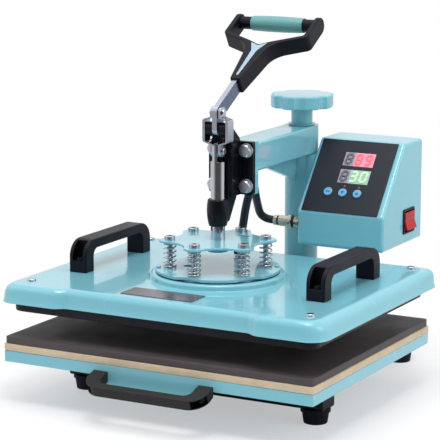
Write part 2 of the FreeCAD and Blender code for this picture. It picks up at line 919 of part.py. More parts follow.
def cover_form(inset, top):
    """The cover's rounded block, drawn in by inset on every side."""
    half_x = cover_width / 2 - inset
    half_y = cover_length / 2 - inset
    waist_y = half_y - waist_depth
    ramp0 = waist_half_length - inset / 2
    ramp1 = ramp0 + waist_ramp
    corner = cover_corner - inset
    quarter = [(half_x, half_y, corner), (ramp1, half_y, waist_bend), (ramp0, waist_y, waist_bend)]
    plan = quarter + [(-x, y, r) for x, y, r in reversed(quarter)]
    plan += [(-x, -y, r) for x, y, r in quarter] + [(x, -y, r) for x, y, r in reversed(quarter)]
    block = prism_z([(x, head_y + y, r) for x, y, r in plan], cover_low, top)
    block = rounded(block, cover_edge - inset, 2, top)
    shoulder = cover_shoulder - inset
    across = [(-half_x - 1, cover_low - 1), (half_x + 1, cover_low - 1), (half_x + 1, cover_low),
              (half_x, cover_low), (half_x, top, shoulder), (-half_x, top, shoulder),
              (-half_x, cover_low), (-half_x - 1, cover_low)]
    return block.common(prism_y(across, head_y - cover_length, head_y + cover_length))


def head_cover():
    outer = cover_form(0.0, cover_top)
    raised = post(0, press_axis_y, cover_top - 1, emboss_top, emboss_radius)
    raised = rounded(raised, emboss_edge, 2, emboss_top)
    inner = cover_form(cover_sheet, cover_underside)
    inner = inner.fuse(post(0, press_axis_y, cover_underside - 1, emboss_top - cover_sheet,
                            emboss_radius - cover_sheet))
    cover = outer.fuse(raised).cut(inner)
    for x, y in head_corner_places():
        cover = cover.cut(post(x, y, cover_underside, cover_top, corner_screw_radius))
    for screw in plate_screws() + head_handle_screws():
        cover = cover.cut(screw)
    return cover.cut(post(gland_x, gland_y, cover_underside - 1, cover_top + 1, gland_stem))


def head_handle_screws():
    screws = []
    for x in (-head_handle_x, head_handle_x):
        screws += [on_cover(screw, x) for screw in handle_screws(head_handle_length, cover_sheet)]
    return screws


def corner_screw(x, y):
    head = post(x, y, cover_top, cover_top + corner_screw_head_height, corner_screw_head)
    head = rounded(head, corner_screw_head_height * 0.6, 2, cover_top + corner_screw_head_height)
    return head.fuse(post(x, y, cover_top - 10, cover_top, corner_screw_radius))


def name_plate():
    x0 = name_plate_x - name_plate_width / 2
    y0 = name_plate_y - name_plate_length / 2
    plan = rectangle(x0, x0 + name_plate_width, y0, y0 + name_plate_length, 1.5)
    return prism_z(plan, cover_top, cover_top + name_plate_thickness)


def cable_gland():
    flange = hexagon(gland_x, gland_y, gland_flats, cover_top, cover_top + gland_flange)
    dome = post(gland_x, gland_y, cover_top, cover_top + gland_height, gland_radius)
    dome = rounded(dome, 2.0, 2, cover_top + gland_height)
    nut_low = cover_underside - gland_nut
    stem = post(gland_x, gland_y, nut_low - 1, cover_top, gland_stem)
    nut = hexagon(gland_x, gland_y, gland_flats, nut_low, cover_underside)
    return flange.fuse(dome).fuse(stem).fuse(nut)


# Pressure pack

def plate_screws():
    screws = []
    for x, y in angle_points(plate_screw_circle, 2, bolt_start):
        y += press_axis_y
        head = post(x, y, lower_plate_top, lower_plate_top + plate_screw_head_height, plate_screw_head)
        shank = post(x, y, lower_plate_top - plate_screw_length, lower_plate_top, plate_screw_radius)
        screws.append(head.fuse(shank))
    return screws


def bolt_places():
    return [(x, y + press_axis_y) for x, y in angle_points(bolt_circle, bolt_count, bolt_start)]


def lower_plate():
    plate = post(0, press_axis_y, emboss_top, lower_plate_top, lower_plate_radius)
    for turn in lower_notch_turns:
        reach = lower_notch_reach + lower_notch_radius
        x = reach * math.cos(math.radians(turn))
        y = press_axis_y + reach * math.sin(math.radians(turn))
        plate = plate.cut(post(x, y, emboss_top, lower_plate_top, lower_notch_radius))
    for x in (-lower_hole_x, lower_hole_x):
        y = press_axis_y + lower_hole_y
        plate = plate.cut(post(x, y, emboss_top, lower_plate_top, lower_hole_radius))
    for x, y in bolt_places():
        plate = plate.cut(post(x, y, emboss_top, lower_plate_top, bolt_radius))
    for screw in plate_screws():
        plate = plate.cut(screw)
    return plate


def spring_bolt(x, y):
    seat = upper_plate_top + head_rest_gap
    head = post(x, y, seat, seat + bolt_head_height, bolt_head_radius)
    head = rounded(head, 0.6, 2, seat + bolt_head_height)
    socket = hexagon(x, y, bolt_socket, seat + bolt_head_height - bolt_socket_depth, seat + bolt_head_height)
    return head.cut(socket).fuse(post(x, y, emboss_top, seat, bolt_radius))


def coil_path(radius, rise, turns):
    """Rising coil round the Z axis, as two tangent arcs to each quarter turn."""
    quarters = round(turns * 4)
    step = math.pi / 2

    def place(k):
        return V(radius * math.cos(k * step), radius * math.sin(k * step), rise * k / quarters)

    def heading(k):
        slope = rise / quarters / step
        return V(-radius * math.sin(k * step), radius * math.cos(k * step), slope).normalize()

    def arc(a, corner, b):
        middle = (a + b) * 0.5
        chord = a.distanceToPoint(b) / 2
        turn = math.atan2(corner.distanceToPoint(middle), chord)
        bulge = (corner - middle).normalize() * (chord * math.tan(turn / 2))
        return Part.Arc(a, middle + bulge, b).toShape()

    edges = []
    for k in range(quarters):
        a, b = place(k), place(k + 1)
        ta, tb = heading(k), heading(k + 1)
        gap, pull = b - a, ta + tb
        qa = pull.dot(pull) - 4
        qb = -2 * gap.dot(pull)
        qc = gap.dot(gap)
        reach = (-qb - math.sqrt(qb * qb - 4 * qa * qc)) / (2 * qa)
        if reach < 0:
            reach = (-qb + math.sqrt(qb * qb - 4 * qa * qc)) / (2 * qa)
        corner_a, corner_b = a + ta * reach, b - tb * reach
        joint = (corner_a + corner_b) * 0.5
        edges += [arc(a, corner_a, joint), arc(joint, corner_b, b)]
    return Part.Wire(edges)


def spring():
    radius = (spring_diameter - spring_wire) / 2
    rise = spring_room - spring_wire - 2 * spring_end_gap
    path = coil_path(radius, rise, spring_turns)
    samples = path.discretize(Number=int(spring_turns * 48) + 1)
    apart = [a.distanceToPoint(b) for i, a in enumerate(samples) for b in samples[i + 24:]]
    print("spring: least gap between turns %.2f mm" % (min(apart) - spring_wire))
    coil = tube_along(path, spring_wire / 2)
    coil.translate(V(0, 0, lower_plate_top + spring_wire / 2 + spring_end_gap))
    return coil


def lobed_plan(distance, lobe, waist, count):
    """Outline with round lobes joined by hollow arcs that touch them."""
    half_step = math.pi / count
    c = math.cos(half_step)
    hollow = (distance ** 2 + waist ** 2 - 2 * distance * waist * c - lobe ** 2)
    hollow /= 2 * (lobe - waist + distance * c)
    edges = []
    for k in range(count):
        turn = math.radians(bolt_start) + 2 * half_step * k
        centre = V(math.cos(turn), math.sin(turn), 0) * distance
        touch = []
        for side in (-1, 1):
            away = turn + side * half_step
            hollow_centre = V(math.cos(away), math.sin(away), 0) * (waist + hollow)
            touch.append(centre + (hollow_centre - centre).normalize() * lobe)
        tip = V(math.cos(turn), math.sin(turn), 0) * (distance + lobe)
        edges.append(Part.Arc(touch[0], tip, touch[1]).toShape())
        away = turn + half_step
        bottom = V(math.cos(away), math.sin(away), 0) * waist
        mirrored = touch[1] - bottom * (2 * touch[1].dot(bottom) / bottom.dot(bottom))
        edges.append(Part.Arc(touch[1], bottom, mirrored * -1).toShape())
    return Part.Wire(edges)


def upper_plate():
    """Lobed plate on the spring bolts, with the hub that seats the plunger rod under it."""
    plan = lobed_plan(bolt_circle, upper_lobe_radius, upper_waist_radius, bolt_count)
    plate = Part.Face(plan).extrude(V(0, 0, upper_plate_thickness))
    plate.translate(V(0, press_axis_y, upper_plate_low))
    low, high = upper_plate_low, upper_plate_top
    for x, y in bolt_places():
        plate = plate.cut(post(x, y, low, high, bolt_radius + close_gap))
    for x in (-upper_slot_x, upper_slot_x):
        y = press_axis_y + upper_slot_y
        half_width, half_length = upper_slot_width / 2, upper_slot_length / 2
        slot = rectangle(x - half_length, x + half_length, y - half_width, y + half_width, half_width * 0.98)
        plate = plate.cut(prism_z(slot, low, high))
    plate = rounded(plate, 0.5, 2, high)
    hub_low = low - rod_seat - hub_floor
    hub = rounded(post(0, press_axis_y, hub_low, low, hub_radius), 1.5, 2, hub_low)
    return plate.fuse(hub).cut(post(0, press_axis_y, low - rod_seat, high, rod_radius))


# Toggle

def plunger_rod():
    rod = post(0, press_axis_y, upper_plate_low - rod_seat, rod_top_z, rod_radius)
    flat_low = rod_top_z - rod_flat_height
    flat = box(lever_thickness / 2, rod_radius, press_axis_y - rod_radius, press_axis_y + rod_radius,
               flat_low, rod_top_z)
    for side in both_sides(flat):
        rod = rod.cut(side)
    return rod.cut(rod_x(press_axis_y, link_pin_z, -rod_radius, rod_radius, pin_radius + running_fit))


def stadium(y, z0, z1, radius):
    """Upright slot shape round two centres, as (y, z) points with rounded ends."""
    end = radius * 0.999
    return [(y - radius, z0 - radius, end), (y + radius, z0 - radius, end),
            (y + radius, z1 + radius, end), (y - radius, z1 + radius, end)]


def toggle_link():
    """One link plate: flat at its pins, and bowed outward round the casting's cheek."""
    a, b = link_narrow, link_narrow + link_thickness
    wa, wb = link_wide, link_wide + link_thickness
    z0, z1 = link_pin_z - link_half_width, lever_pin_z + link_half_width
    low1, high1 = fulcrum_z - link_wide_low, fulcrum_z + link_wide_high
    low0, high0 = low1 - link_ramp, high1 + link_ramp
    profile = [(a, z0), (b, z0), (b, low0 - link_bend), (wb, low1 - link_bend, 3),
               (wb, high1 + link_bend, 3), (b, high0 + link_bend), (b, z1), (a, z1),
               (a, high0, 1), (wa, high1, 1), (wa, low1, 1), (a, low0, 1)]
    strip = prism_y(profile, press_axis_y - link_half_width, press_axis_y + link_half_width)
    side = stadium(press_axis_y, link_pin_z, lever_pin_z, link_half_width)
    plate = strip.common(prism_x(side, 0, 2 * wb))
    plate = plate.cut(rod_x(press_axis_y, lever_pin_z, 0, wb, pin_radius + running_fit))
    return plate.cut(rod_x(press_axis_y, link_pin_z, 0, wb, pin_radius))


def link_pin():
    """Stub of the link's lower pin in one plate; the middle of the pin is left open."""
    outer = link_narrow + link_thickness
    stub = rod_x(press_axis_y, link_pin_z, link_narrow, outer, pin_radius)
    head = rod_x(press_axis_y, link_pin_z, outer, outer + pin_head_height, pin_head_radius)
    head = rounded(head, 1.2, 0, outer + pin_head_height)
    return stub.fuse(head)


def lever_pin():
    outer = link_narrow + link_thickness + running_fit
    pin = rod_x(press_axis_y, lever_pin_z, -outer, outer, pin_radius)
    head = rod_x(press_axis_y, lever_pin_z, outer, outer + pin_head_height, pin_head_radius)
    for piece in both_sides(rounded(head, 1.2, 0, outer + pin_head_height)):
        pin = pin.fuse(piece)
    return pin


def fulcrum_pin():
    return rod_x(press_axis_y, fulcrum_z, -cheek_outer, cheek_outer, pin_radius)


def lever_bar():
    half = lever_thickness / 2
    tongue = prism_x(stadium(press_axis_y, fulcrum_z, lever_pin_z, lever_half_width), -half, half)
    end = yoke_start + lever_in_yoke
    bar = box(-half, half, 0, end, -lever_half_width, lever_half_width)
    bar = tongue.fuse(on_lever(bar)).removeSplitter()
    bar = bar.cut(rod_x(press_axis_y, fulcrum_z, -half, half, pin_radius + running_fit))
    return bar.cut(rod_x(press_axis_y, lever_pin_z, -half, half, pin_radius))


def handle_yoke():
    """Forked handle: a solid stem on the lever, and two thin deep arms with round ends at the grip."""
    stem, fork = yoke_stem_width / 2, yoke_fork_width / 2
    wide, inner = yoke_half_width, yoke_half_width - yoke_arm
    depth = yoke_half_thickness
    end = grip_along + depth
    inside = yoke_corner + yoke_arm / 2
    right = [(stem, yoke_start, 2), (fork, yoke_fork, yoke_fork_bend), (wide, yoke_corner, yoke_corner_bend),
             (wide, end), (inner, end), (inner, inside, yoke_corner_bend - yoke_arm / 2),
             (fork, yoke_crotch + yoke_knee, yoke_arm)]
    plan = right + [(0, yoke_crotch, yoke_arm)] + [(-point[0],) + point[1:] for point in reversed(right)]
    yoke = prism_z(plan, -depth, depth)
    side = rectangle(yoke_start, end, -depth, depth)
    side = [side[0], side[1][:2] + (depth * 0.99,), side[2][:2] + (depth * 0.99,), side[3]]
    yoke = yoke.common(prism_x(side, -wide, wide))
    yoke = rounded(yoke, yoke_edge, 2, -depth, depth)
    half = lever_thickness / 2
    slot = box(-half, half, yoke_start - 1, yoke_start + lever_in_yoke, -lever_half_width, lever_half_width)
    yoke = yoke.cut(slot).cut(inlay_form())
    for x in (-1, 1):
        ends = sorted((x * inner, x * (inner + grip_rod_in_arm)))
        yoke = yoke.cut(rod_x(grip_along, 0, ends[0], ends[1], grip_rod_radius))
    return on_lever(yoke)


def inlay_form():
    """Thin strip down the stem, with an ear on each side that follows the crotch."""
    middle = yoke_crotch - inlay_margin / 3
    right = [(inlay_foot, inlay_start, 0.6), (inlay_neck, yoke_fork - 2 * inlay_margin, 12),
             (inlay_ear, middle + inlay_ear_rise, 0.5)]
    plan = right + [(0, middle, 3)] + [(-x, y, r) for x, y, r in reversed(right)]
    return prism_z(plan, yoke_half_thickness - inlay_thickness, yoke_half_thickness)


def grip_barrel():
    half = grip_half_length
    grip = barrel(-half, half, grip_radius, grip_belly, grip_radius, 0.5)
    grip.rotate(V(0, 0, 0), V(0, 1, 0), 90)
    grip.translate(V(0, grip_along, 0))
    return on_lever(grip.cut(rod_x(grip_along, 0, -half, half, grip_rod_radius)))


def grip_ferrule():
    end = yoke_half_width - yoke_arm
    ferrule = rod_x(grip_along, 0, grip_half_length, end, ferrule_radius)
    return ferrule.cut(rod_x(grip_along, 0, grip_half_length, end, grip_rod_radius))


def grip_rod():
    reach = yoke_half_width - yoke_arm + grip_rod_in_arm
    return on_lever(rod_x(grip_along, 0, -reach, reach, grip_rod_radius))


# Casting at the front of the arm

def clamp_bolt_places():
    inset = clamp_bolt_inset
    levels = (flange_low_z + inset, flange_high_z - inset)
    return [(x, z) for x in (-clamp_bolt_x, clamp_bolt_x) for z in levels]


def clamp_body():
    front = press_axis_y + casting_front
    plan = rectangle(-flange_half_width, flange_half_width, flange_low_z, flange_high_z, flange_corner)
    flange = prism_y(plan, flange_front_y, flange_back_y)
    trunk = prism_x([(front, flange_low_z), (flange_front_y, flange_low_z), (flange_front_y, flange_high_z),
                     (front, flange_high_z)], -cheek_outer, cheek_outer)
    ear = [(press_axis_y - cheek_radius, fulcrum_z + cheek_radius, cheek_radius * 0.99),
           (press_axis_y - cheek_radius, fulcrum_z - cheek_radius, cheek_radius * 0.99),
           (front, fulcrum_z - cheek_radius - cheek_shoulder, cheek_shoulder / 2),
           (front, flange_high_z - casting_lap), (flange_front_y, flange_high_z - casting_lap),
           (flange_front_y - cheek_shoulder / 2, flange_high_z + cheek_shoulder, cheek_shoulder),
           (press_axis_y + cheek_shoulder, fulcrum_z + cheek_radius, cheek_radius - casting_lap)]
    cheeks = prism_x(ear, -cheek_outer, cheek_outer)
    half_slot = cheek_slot / 2
    cheeks = cheeks.cut(box(-half_slot, half_slot, press_axis_y - 3 * cheek_radius, flange_back_y,
                            flange_high_z, fulcrum_z + 3 * cheek_radius))
    nose_low = guide_low + nose_step / 2
    nose_high = guide_high - 2 * casting_lap
    nose = prism_x([(press_axis_y, nose_low), (press_axis_y + guide_mid_radius, nose_low, 3 * casting_lap),
                    (flange_front_y, flange_low_z - casting_lap, nose_step),
                    (flange_front_y, flange_low_z + nose_step), (front, flange_low_z + nose_step),
                    (front, nose_high), (press_axis_y, nose_high)], -nose_half_width, nose_half_width)
    guide = barrel(guide_low, guide_high, guide_bottom_radius, guide_mid_radius, guide_top_radius,
                   guide_waist)
    guide = rounded(guide, guide_edge, 2, guide_low, guide_high)
    body = flange.fuse(trunk).fuse(cheeks).fuse(nose).fuse(moved(guide, 0, press_axis_y, 0))
    body = body.cut(post(0, press_axis_y, guide_low - 1, flange_high_z + 1, rod_radius + running_fit))
    body = body.cut(rod_x(press_axis_y, fulcrum_z, -cheek_outer, cheek_outer, pin_radius))
    for x, z in clamp_bolt_places():
        body = body.cut(rod_y(x, z, flange_front_y, flange_back_y, clamp_bolt_radius))
        body = body.cut(rod_y(x, z, front, flange_front_y, clamp_washer_radius + spot_face_gap))
    return body


def clamp_washer(x, z):
    washer = rod_y(x, z, flange_front_y - clamp_washer_thickness, flange_front_y, clamp_washer_radius)
    return washer.cut(rod_y(x, z, flange_front_y - clamp_washer_thickness, flange_front_y, clamp_bolt_radius))


def clamp_bolt(x, z):
    seat = flange_front_y - clamp_washer_thickness
    head = hexagon(0, 0, clamp_bolt_flats, 0, clamp_bolt_head)
    wide = clamp_bolt_flats / math.sqrt(3)
    chamfer = turned([(0, 0), (wide, 0), (wide, clamp_bolt_head - clamp_bolt_chamfer),
                      (clamp_bolt_top / 2, clamp_bolt_head), (0, clamp_bolt_head)], 0, 0)
    head = head.common(chamfer)
    head.rotate(V(0, 0, 0), V(1, 0, 0), 90)
    head.translate(V(x, seat, z))
    return head.fuse(rod_y(x, z, seat, end_plate_back_y, clamp_bolt_radius))


def end_plate():
    plate = prism_y(rectangle(-flange_half_width, flange_half_width, flange_low_z, flange_high_z, 1.0),
                    flange_back_y, end_plate_back_y)
    for x, z in clamp_bolt_places():
        plate = plate.cut(rod_y(x, z, flange_back_y, end_plate_back_y, clamp_bolt_radius))
    return plate


# Arm and column

def column_body():
    return post(0, column_y, column_low, beam_high, column_radius)


def arm_beam():
    end = column_y - 1
    outer = rectangle(-beam_half_width, beam_half_width, beam_low, beam_high, 2.5)
    inset = beam_wall
    inner = rectangle(-beam_half_width + inset, beam_half_width - inset, beam_low + inset, beam_high - inset)
    beam = prism_y(outer, end_plate_back_y, end).cut(prism_y(inner, end_plate_back_y, end))
    return beam.cut(column_body())


def arm_gusset():
    half = gusset_thickness / 2
    end = column_front_y + half
    profile = [(column_front_y - gusset_length, beam_low), (end, beam_low - gusset_drop), (end, beam_low)]
    return prism_x(profile, -half, half).cut(column_body())


def column_tube():
    inner = column_radius - column_wall
    tube = column_body().cut(post(0, column_y, column_low, beam_high - column_cap, inner))
    return tube.cut(post(0, column_y, beam_high - column_cap, beam_high, stud_radius + 2 * close_gap))


def column_bush(z0):
    bush = post(0, column_y, z0, z0 + bush_length, column_radius - column_wall)
    return bush.cut(post(0, column_y, z0, z0 + bush_length, shaft_radius + running_fit))


def pivot_post():
    """Fixed post in the column: flange on the rear tube, ring that the column turns on, and shaft."""
    half = base_flange_width / 2
    flange_high = tube_top + base_flange_thickness
    plan = rectangle(-half, half, column_y - base_flange_front, rear_tube_y + tube_depth / 2, 4)
    flange = prism_z(plan, tube_top, flange_high)
    shoulder = post(0, column_y, flange_high, flange_high + base_shoulder, column_radius)
    shaft = post(0, column_y, flange_high, shaft_high, shaft_radius)
    stud_hole = post(0, column_y, shaft_high - stud_in_shaft, shaft_high, stud_radius + running_fit)
    return flange.fuse(shoulder).fuse(shaft).cut(stud_hole)


def knob_washer():
    washer = post(0, column_y, beam_high + close_gap, washer_top, knob_washer_radius)
    return washer.cut(post(0, column_y, beam_high + close_gap, washer_top, stud_radius))


def lock_knob():
    high = knob_low + knob_thickness
    head = post(0, column_y, knob_low, high, knob_radius)
    reach = knob_radius + knob_scallop - knob_scallop_depth
    for x, y in angle_points(reach, knob_lobes, 22.5):
        head = head.cut(post(x, column_y + y, knob_low, high, knob_scallop))
    head = rounded(head, knob_edge, 2, knob_low, high)
    neck = post(0, column_y, washer_top, knob_low + 1, knob_neck_radius)
    return head.fuse(neck).cut(post(0, column_y, washer_top, stud_high, stud_radius))


def knob_stud():
    return post(0, column_y, shaft_high - stud_in_shaft + close_gap, stud_high, stud_radius)


# Control box

def box_profile(inset, back):
    """Side view of the box as (y, z) points, drawn in by inset, ending at the given Y."""
    front = box_y0 + inset
    low = box_z0 + inset
    high = box_z1 - inset
    half_bend = math.radians(slope_angle) / 2
    knee = slope_low_z - inset * math.tan(math.pi / 4 - half_bend)
    brow = slope_high_y + inset * math.tan(half_bend)
    corner = box_corner - inset
    return [(front, low, corner), (back, low), (back, high), (brow, high, corner), (front, knee, corner)]


def control_box():
    back = box_y1 - back_cover_thickness
    beyond = back + 2 * box_side_edge
    shell = prism_x(box_profile(0.0, beyond), box_x0, box_x1)
    shell = rounded(shell, box_side_edge, 0, box_x0, box_x1)
    x0, x1 = box_x0 + box_wall, box_x1 - box_wall
    inner = prism_x(box_profile(box_wall, beyond), x0, x1)
    inner = rounded(inner, box_inner_edge, 0, x0, x1)
    shell = shell.cut(inner).common(box(box_x0, box_x1, box_y0, back, box_z0, box_z1))
    for x, z in back_screw_places():
        half = box_boss / 2
        boss = box(x - half, x + half, back - box_boss, back, z - half, z + half)
        shell = shell.fuse(boss)
        shell = shell.cut(rod_y(x, z, back - back_screw_length, back, back_screw_radius))
    half = panel_width / 2 - window_margin
    window = box(-half, half, panel_start + window_margin, panel_start + panel_length - window_margin,
                 -box_wall - 1, 1)
    shell = shell.cut(on_slope(window))
    shell = shell.cut(switch_body(panel_gap / 2))
    for y, z in bracket_screw_places():
        shell = shell.cut(rod_x(y, z, box_x0, box_x0 + box_wall, bracket_screw_radius))
    return shell.cut(rod_x(socket_y, socket_z, box_x0, box_x0 + box_wall, socket_radius))


def back_screw_places():
    inset = box_wall + box_boss / 2
    return [(x, z) for x in (box_x0 + inset, box_x1 - inset) for z in (box_z0 + inset, box_z1 - inset)]


def back_cover():
    plan = rectangle(box_x0, box_x1, box_z0, box_z1, box_side_edge)
    plate = prism_y(plan, box_y1 - back_cover_thickness, box_y1)
    for x, z in back_screw_places():
        plate = plate.cut(rod_y(x, z, box_y1 - back_cover_thickness, box_y1, back_screw_radius))
    half_x, half_z = inlet_width / 2, inlet_height / 2
    plate = plate.cut(box(inlet_x - half_x, inlet_x + half_x, box_y1 - back_cover_thickness, box_y1,
                          inlet_z - half_z, inlet_z + half_z))
    for x in inlet_screw_places():
        plate = plate.cut(rod_y(x, inlet_z, box_y1 - back_cover_thickness, box_y1, back_screw_radius))
    return plate


def back_screw(x, z, seat):
    end = seat + back_screw_head_height
    head = rounded(rod_y(x, z, seat, end, back_screw_head), 0.9, 1, end)
    return head.fuse(rod_y(x, z, seat - back_screw_length, seat, back_screw_radius))


def inlet_screw_places():
    reach = inlet_flange_width / 2 - inlet_screw_inset
    return (inlet_x - reach, inlet_x + reach)


def power_inlet():
    half = inlet_flange_width / 2
    ear = inlet_ear_height / 2
    side = inlet_flange_height / 2
    shoulder = half - inlet_ear_length
    tight, wide = inlet_shoulder_corner, inlet_ear_corner
    plan = [(-half, -ear, wide), (-shoulder, -side, tight), (shoulder, -side, tight), (half, -ear, wide),
            (half, ear, wide), (shoulder, side, tight), (-shoulder, side, tight), (-half, ear, wide)]
    seat = box_y1
    face = inlet_face_y
    body = prism_y([(inlet_x + x, inlet_z + z, r) for x, z, r in plan], seat, face)
    half_x, half_z = inlet_width / 2, inlet_height / 2
    body = body.fuse(box(inlet_x - half_x, inlet_x + half_x, seat - inlet_body, seat,
                         inlet_z - half_z, inlet_z + half_z))
    wall = inlet_wall
    x, z, cut = half_x - wall, half_z - wall, inlet_key
    cavity = [(-x, -z), (x, -z), (x, z - cut), (x - cut, z), (-x + cut, z), (-x, z - cut)]
    body = body.cut(moved(prism_y(cavity, face - inlet_cavity, face), inlet_x, 0, inlet_z))
    for x in inlet_screw_places():
        body = body.cut(rod_y(x, inlet_z, seat, face, back_screw_radius))
    for pin in inlet_pins():
        body = body.cut(pin)
    return body


def inlet_pins():
    pins = []
    floor = inlet_face_y - inlet_cavity
    half_x, half_z, reach = inlet_pin_thickness / 2, inlet_pin_width / 2, inlet_pin_pitch / 2
    for x, z in ((-reach, -inlet_pin_low), (reach, -inlet_pin_low), (0.0, inlet_pin_high)):
        pins.append(box(inlet_x + x - half_x, inlet_x + x + half_x, floor - inlet_pin_root,
                        floor + inlet_pin_length, inlet_z + z - half_z, inlet_z + z + half_z))
    return pins


def bracket_screw_places():
    low = (box_z0 + box_z1 - bracket_height) / 2 + bracket_screw_inset
    half = bracket_screw_pitch / 2
    rise = bracket_height - 2 * bracket_screw_inset
    return [(column_y + y, low + z) for y in (-half, half) for z in (0, rise)]


def box_bracket():
    low = (box_z0 + box_z1 - bracket_height) / 2
    block = box(column_radius - bracket_reach, box_x0, column_y - bracket_half_depth,
                column_y + bracket_half_depth, low, low + bracket_height)
    block = block.cut(column_body())
    for y, z in bracket_screw_places():
        block = block.cut(rod_x(y, z, bracket_screw_tip, box_x0, bracket_screw_radius))
    return block.cut(column_body())


def bracket_screw(y, z):
    inside = box_x0 + box_wall
    head = rod_x(y, z, inside, inside + bracket_screw_head_height, bracket_screw_head)
    return head.fuse(rod_x(y, z, bracket_screw_tip, inside, bracket_screw_radius))


def display_block(along, gap):
    half_x, half_y = display_width / 2 + gap, display_height / 2 + gap
    return box(display_x - half_x, display_x + half_x, along - half_y, along + half_y,
               -board_depth, display_proud + gap)


def button_places():
    return [button_x + k * button_pitch for k in (-1, 0, 1)]


def lamp_places():
    return button_places()[1:]


def control_panel():
    half = panel_width / 2
    plan = rectangle(-half, half, panel_start, panel_start + panel_length, panel_corner)
    panel = prism_z(plan, 0, panel_thickness)
    for along in (temperature_along, timer_along):
        panel = panel.cut(display_block(along, panel_gap / 2))
    for x in button_places():
        panel = panel.cut(post(x, button_along, 0, panel_thickness, button_radius + panel_gap))
    for x in lamp_places():
        panel = panel.cut(post(x, lamp_along, 0, panel_thickness, lamp_radius))
    return on_slope(panel)


def circuit_board():
    half = panel_width / 2 - window_margin
    y0, y1 = panel_start + window_margin, panel_start + panel_length - window_margin
    board = box(-half, half, y0, y1, -board_depth - board_thickness, -board_depth)
    inset = board_post_radius + close_gap
    posts = [post(x, y, -board_depth, 0, board_post_radius)
             for x in (-half + inset, half - inset) for y in (y0 + inset, y1 - inset)]
    return [on_slope(piece) for piece in [board] + posts]


def push_button(x):
    top = panel_thickness + button_proud
    low = -close_gap - button_flange_thickness
    cap = rounded(post(x, button_along, low, top, button_radius), 0.8, 2, top)
    return on_slope(cap.fuse(post(x, button_along, low, -close_gap, button_flange)))


def key_switch(x):
    """Small switch on the board under a button. Its stem ends where the pressed button stops."""
    half = key_width / 2
    stem_top = -close_gap - button_flange_thickness - button_travel - button_stop_gap
    body = box(x - half, x + half, button_along - half, button_along + half,
               -board_depth, -board_depth + key_height)
    return on_slope(body.fuse(post(x, button_along, -board_depth, stem_top, key_stem_radius)))


def indicator_lamp(x):
    return on_slope(post(x, lamp_along, -board_depth, panel_thickness + lamp_proud, lamp_radius))


def switch_body(gap):
    """The switch's housing behind its rim, or with a gap the hole that it goes through."""
    half_y = switch_width / 2 - switch_rim + switch_wall + gap
    half_z = switch_height / 2 - switch_rim + switch_wall + gap
    return box(box_x1 - switch_depth, box_x1, switch_y - half_y, switch_y + half_y,
               switch_z - half_z, switch_z + half_z)


def switch_frame():
    half_y, half_z = switch_width / 2, switch_height / 2
    plan = rectangle(switch_y - half_y, switch_y + half_y, switch_z - half_z, switch_z + half_z, 2.5)
    rim = rounded(prism_x(plan, box_x1, box_x1 + switch_lip), 0.8, 0, box_x1 + switch_lip)
    clear_y, clear_z = half_y - switch_rim, half_z - switch_rim
    well = box(box_x1 - switch_depth + 2 * switch_wall, box_x1 + switch_lip, switch_y - clear_y,
               switch_y + clear_y, switch_z - clear_z, switch_z + clear_z)
    reach = clear_y + rocker_pin_reach + close_gap / 2
    pin = rod_y(box_x1, switch_z, switch_y - reach, switch_y + reach, rocker_pin_radius + running_fit)
    return rim.fuse(switch_body(0)).cut(well).cut(pin)


def power_rocker():
    clear_y = switch_width / 2 - switch_rim
    half_y, tall = clear_y - close_gap, rocker_half_height
    profile = [(-rocker_root, -tall + 3.5, 1), (rocker_rise, -tall, 0.8), (rocker_dip, 0),
               (rocker_rise, tall, 0.8), (-rocker_root, tall - 3.5, 1)]
    reach = clear_y + rocker_pin_reach
    rocker = prism_y(profile, -half_y, half_y).fuse(rod_y(0, 0, -reach, reach, rocker_pin_radius))
    rocker.rotate(V(0, 0, 0), V(0, 1, 0), -rocker_tilt)
    return moved(rocker, box_x1, switch_y, switch_z)


def cable_socket():
    neck_x = box_x0 - socket_flange_thickness
    flange = rod_x(socket_y, socket_z, neck_x, box_x0, socket_flange_radius)
    neck = rod_x(socket_y, socket_z, neck_x - socket_neck, neck_x, socket_neck_radius)
    bushing = rod_x(socket_y, socket_z, box_x0, box_x0 + socket_inside, socket_radius)
    inner = box_x0 + box_wall
    nut = rod_x(socket_y, socket_z, inner, inner + socket_nut, socket_nut_radius)
    return flange.fuse(neck).fuse(bushing).fuse(nut)


def cable_plug():
    waist = cable_radius + plug_waist_wall
    step = plug_step
    waist_low = plug_nut_length + step
    waist_high = waist_low + plug_waist_length
    ring_high = plug_length - plug_collar_length
    ring_low = ring_high - plug_ring_length
    bevel = plug_ring_bevel
    profile = [(0, 0), (plug_nut_radius - step, 0), (plug_nut_radius, step), (plug_nut_radius, plug_nut_length),
               (waist, waist_low), (waist, waist_high), (plug_body_radius, waist_high + step),
               (plug_body_radius, ring_low - 2 * step), (plug_ring_radius, ring_low),
               (plug_ring_radius, ring_high - bevel), (plug_ring_radius - bevel, ring_high),
               (plug_collar_radius, ring_high), (plug_collar_radius, plug_length), (0, plug_length)]
    plug = turned(profile, 0, 0)
    plug.rotate(V(0, 0, 0), V(0, 1, 0), 90)
    return moved(plug, plug_x0, socket_y, socket_z)


def head_cable():
    points = [(gland_x, gland_y, cover_top + gland_height)]
    points += [(x, y, z + mat_top) for x, y, z in cable_route]
    points += [(plug_x0 - plug_lead, socket_y, socket_z), (plug_x0, socket_y, socket_z)]
    radii = widest_radii(points)
    path = bent_path(points, radii)
    tube = tube_along(path, cable_radius)
    ideal = math.pi * cable_radius ** 2 * path.Length
    print("cable: arc radii", " ".join("%.1f" % radius for radius in radii))
    print("cable: length %.1f mm, volume over section times length %.4f" % (path.Length, tube.Volume / ideal))
    return tube


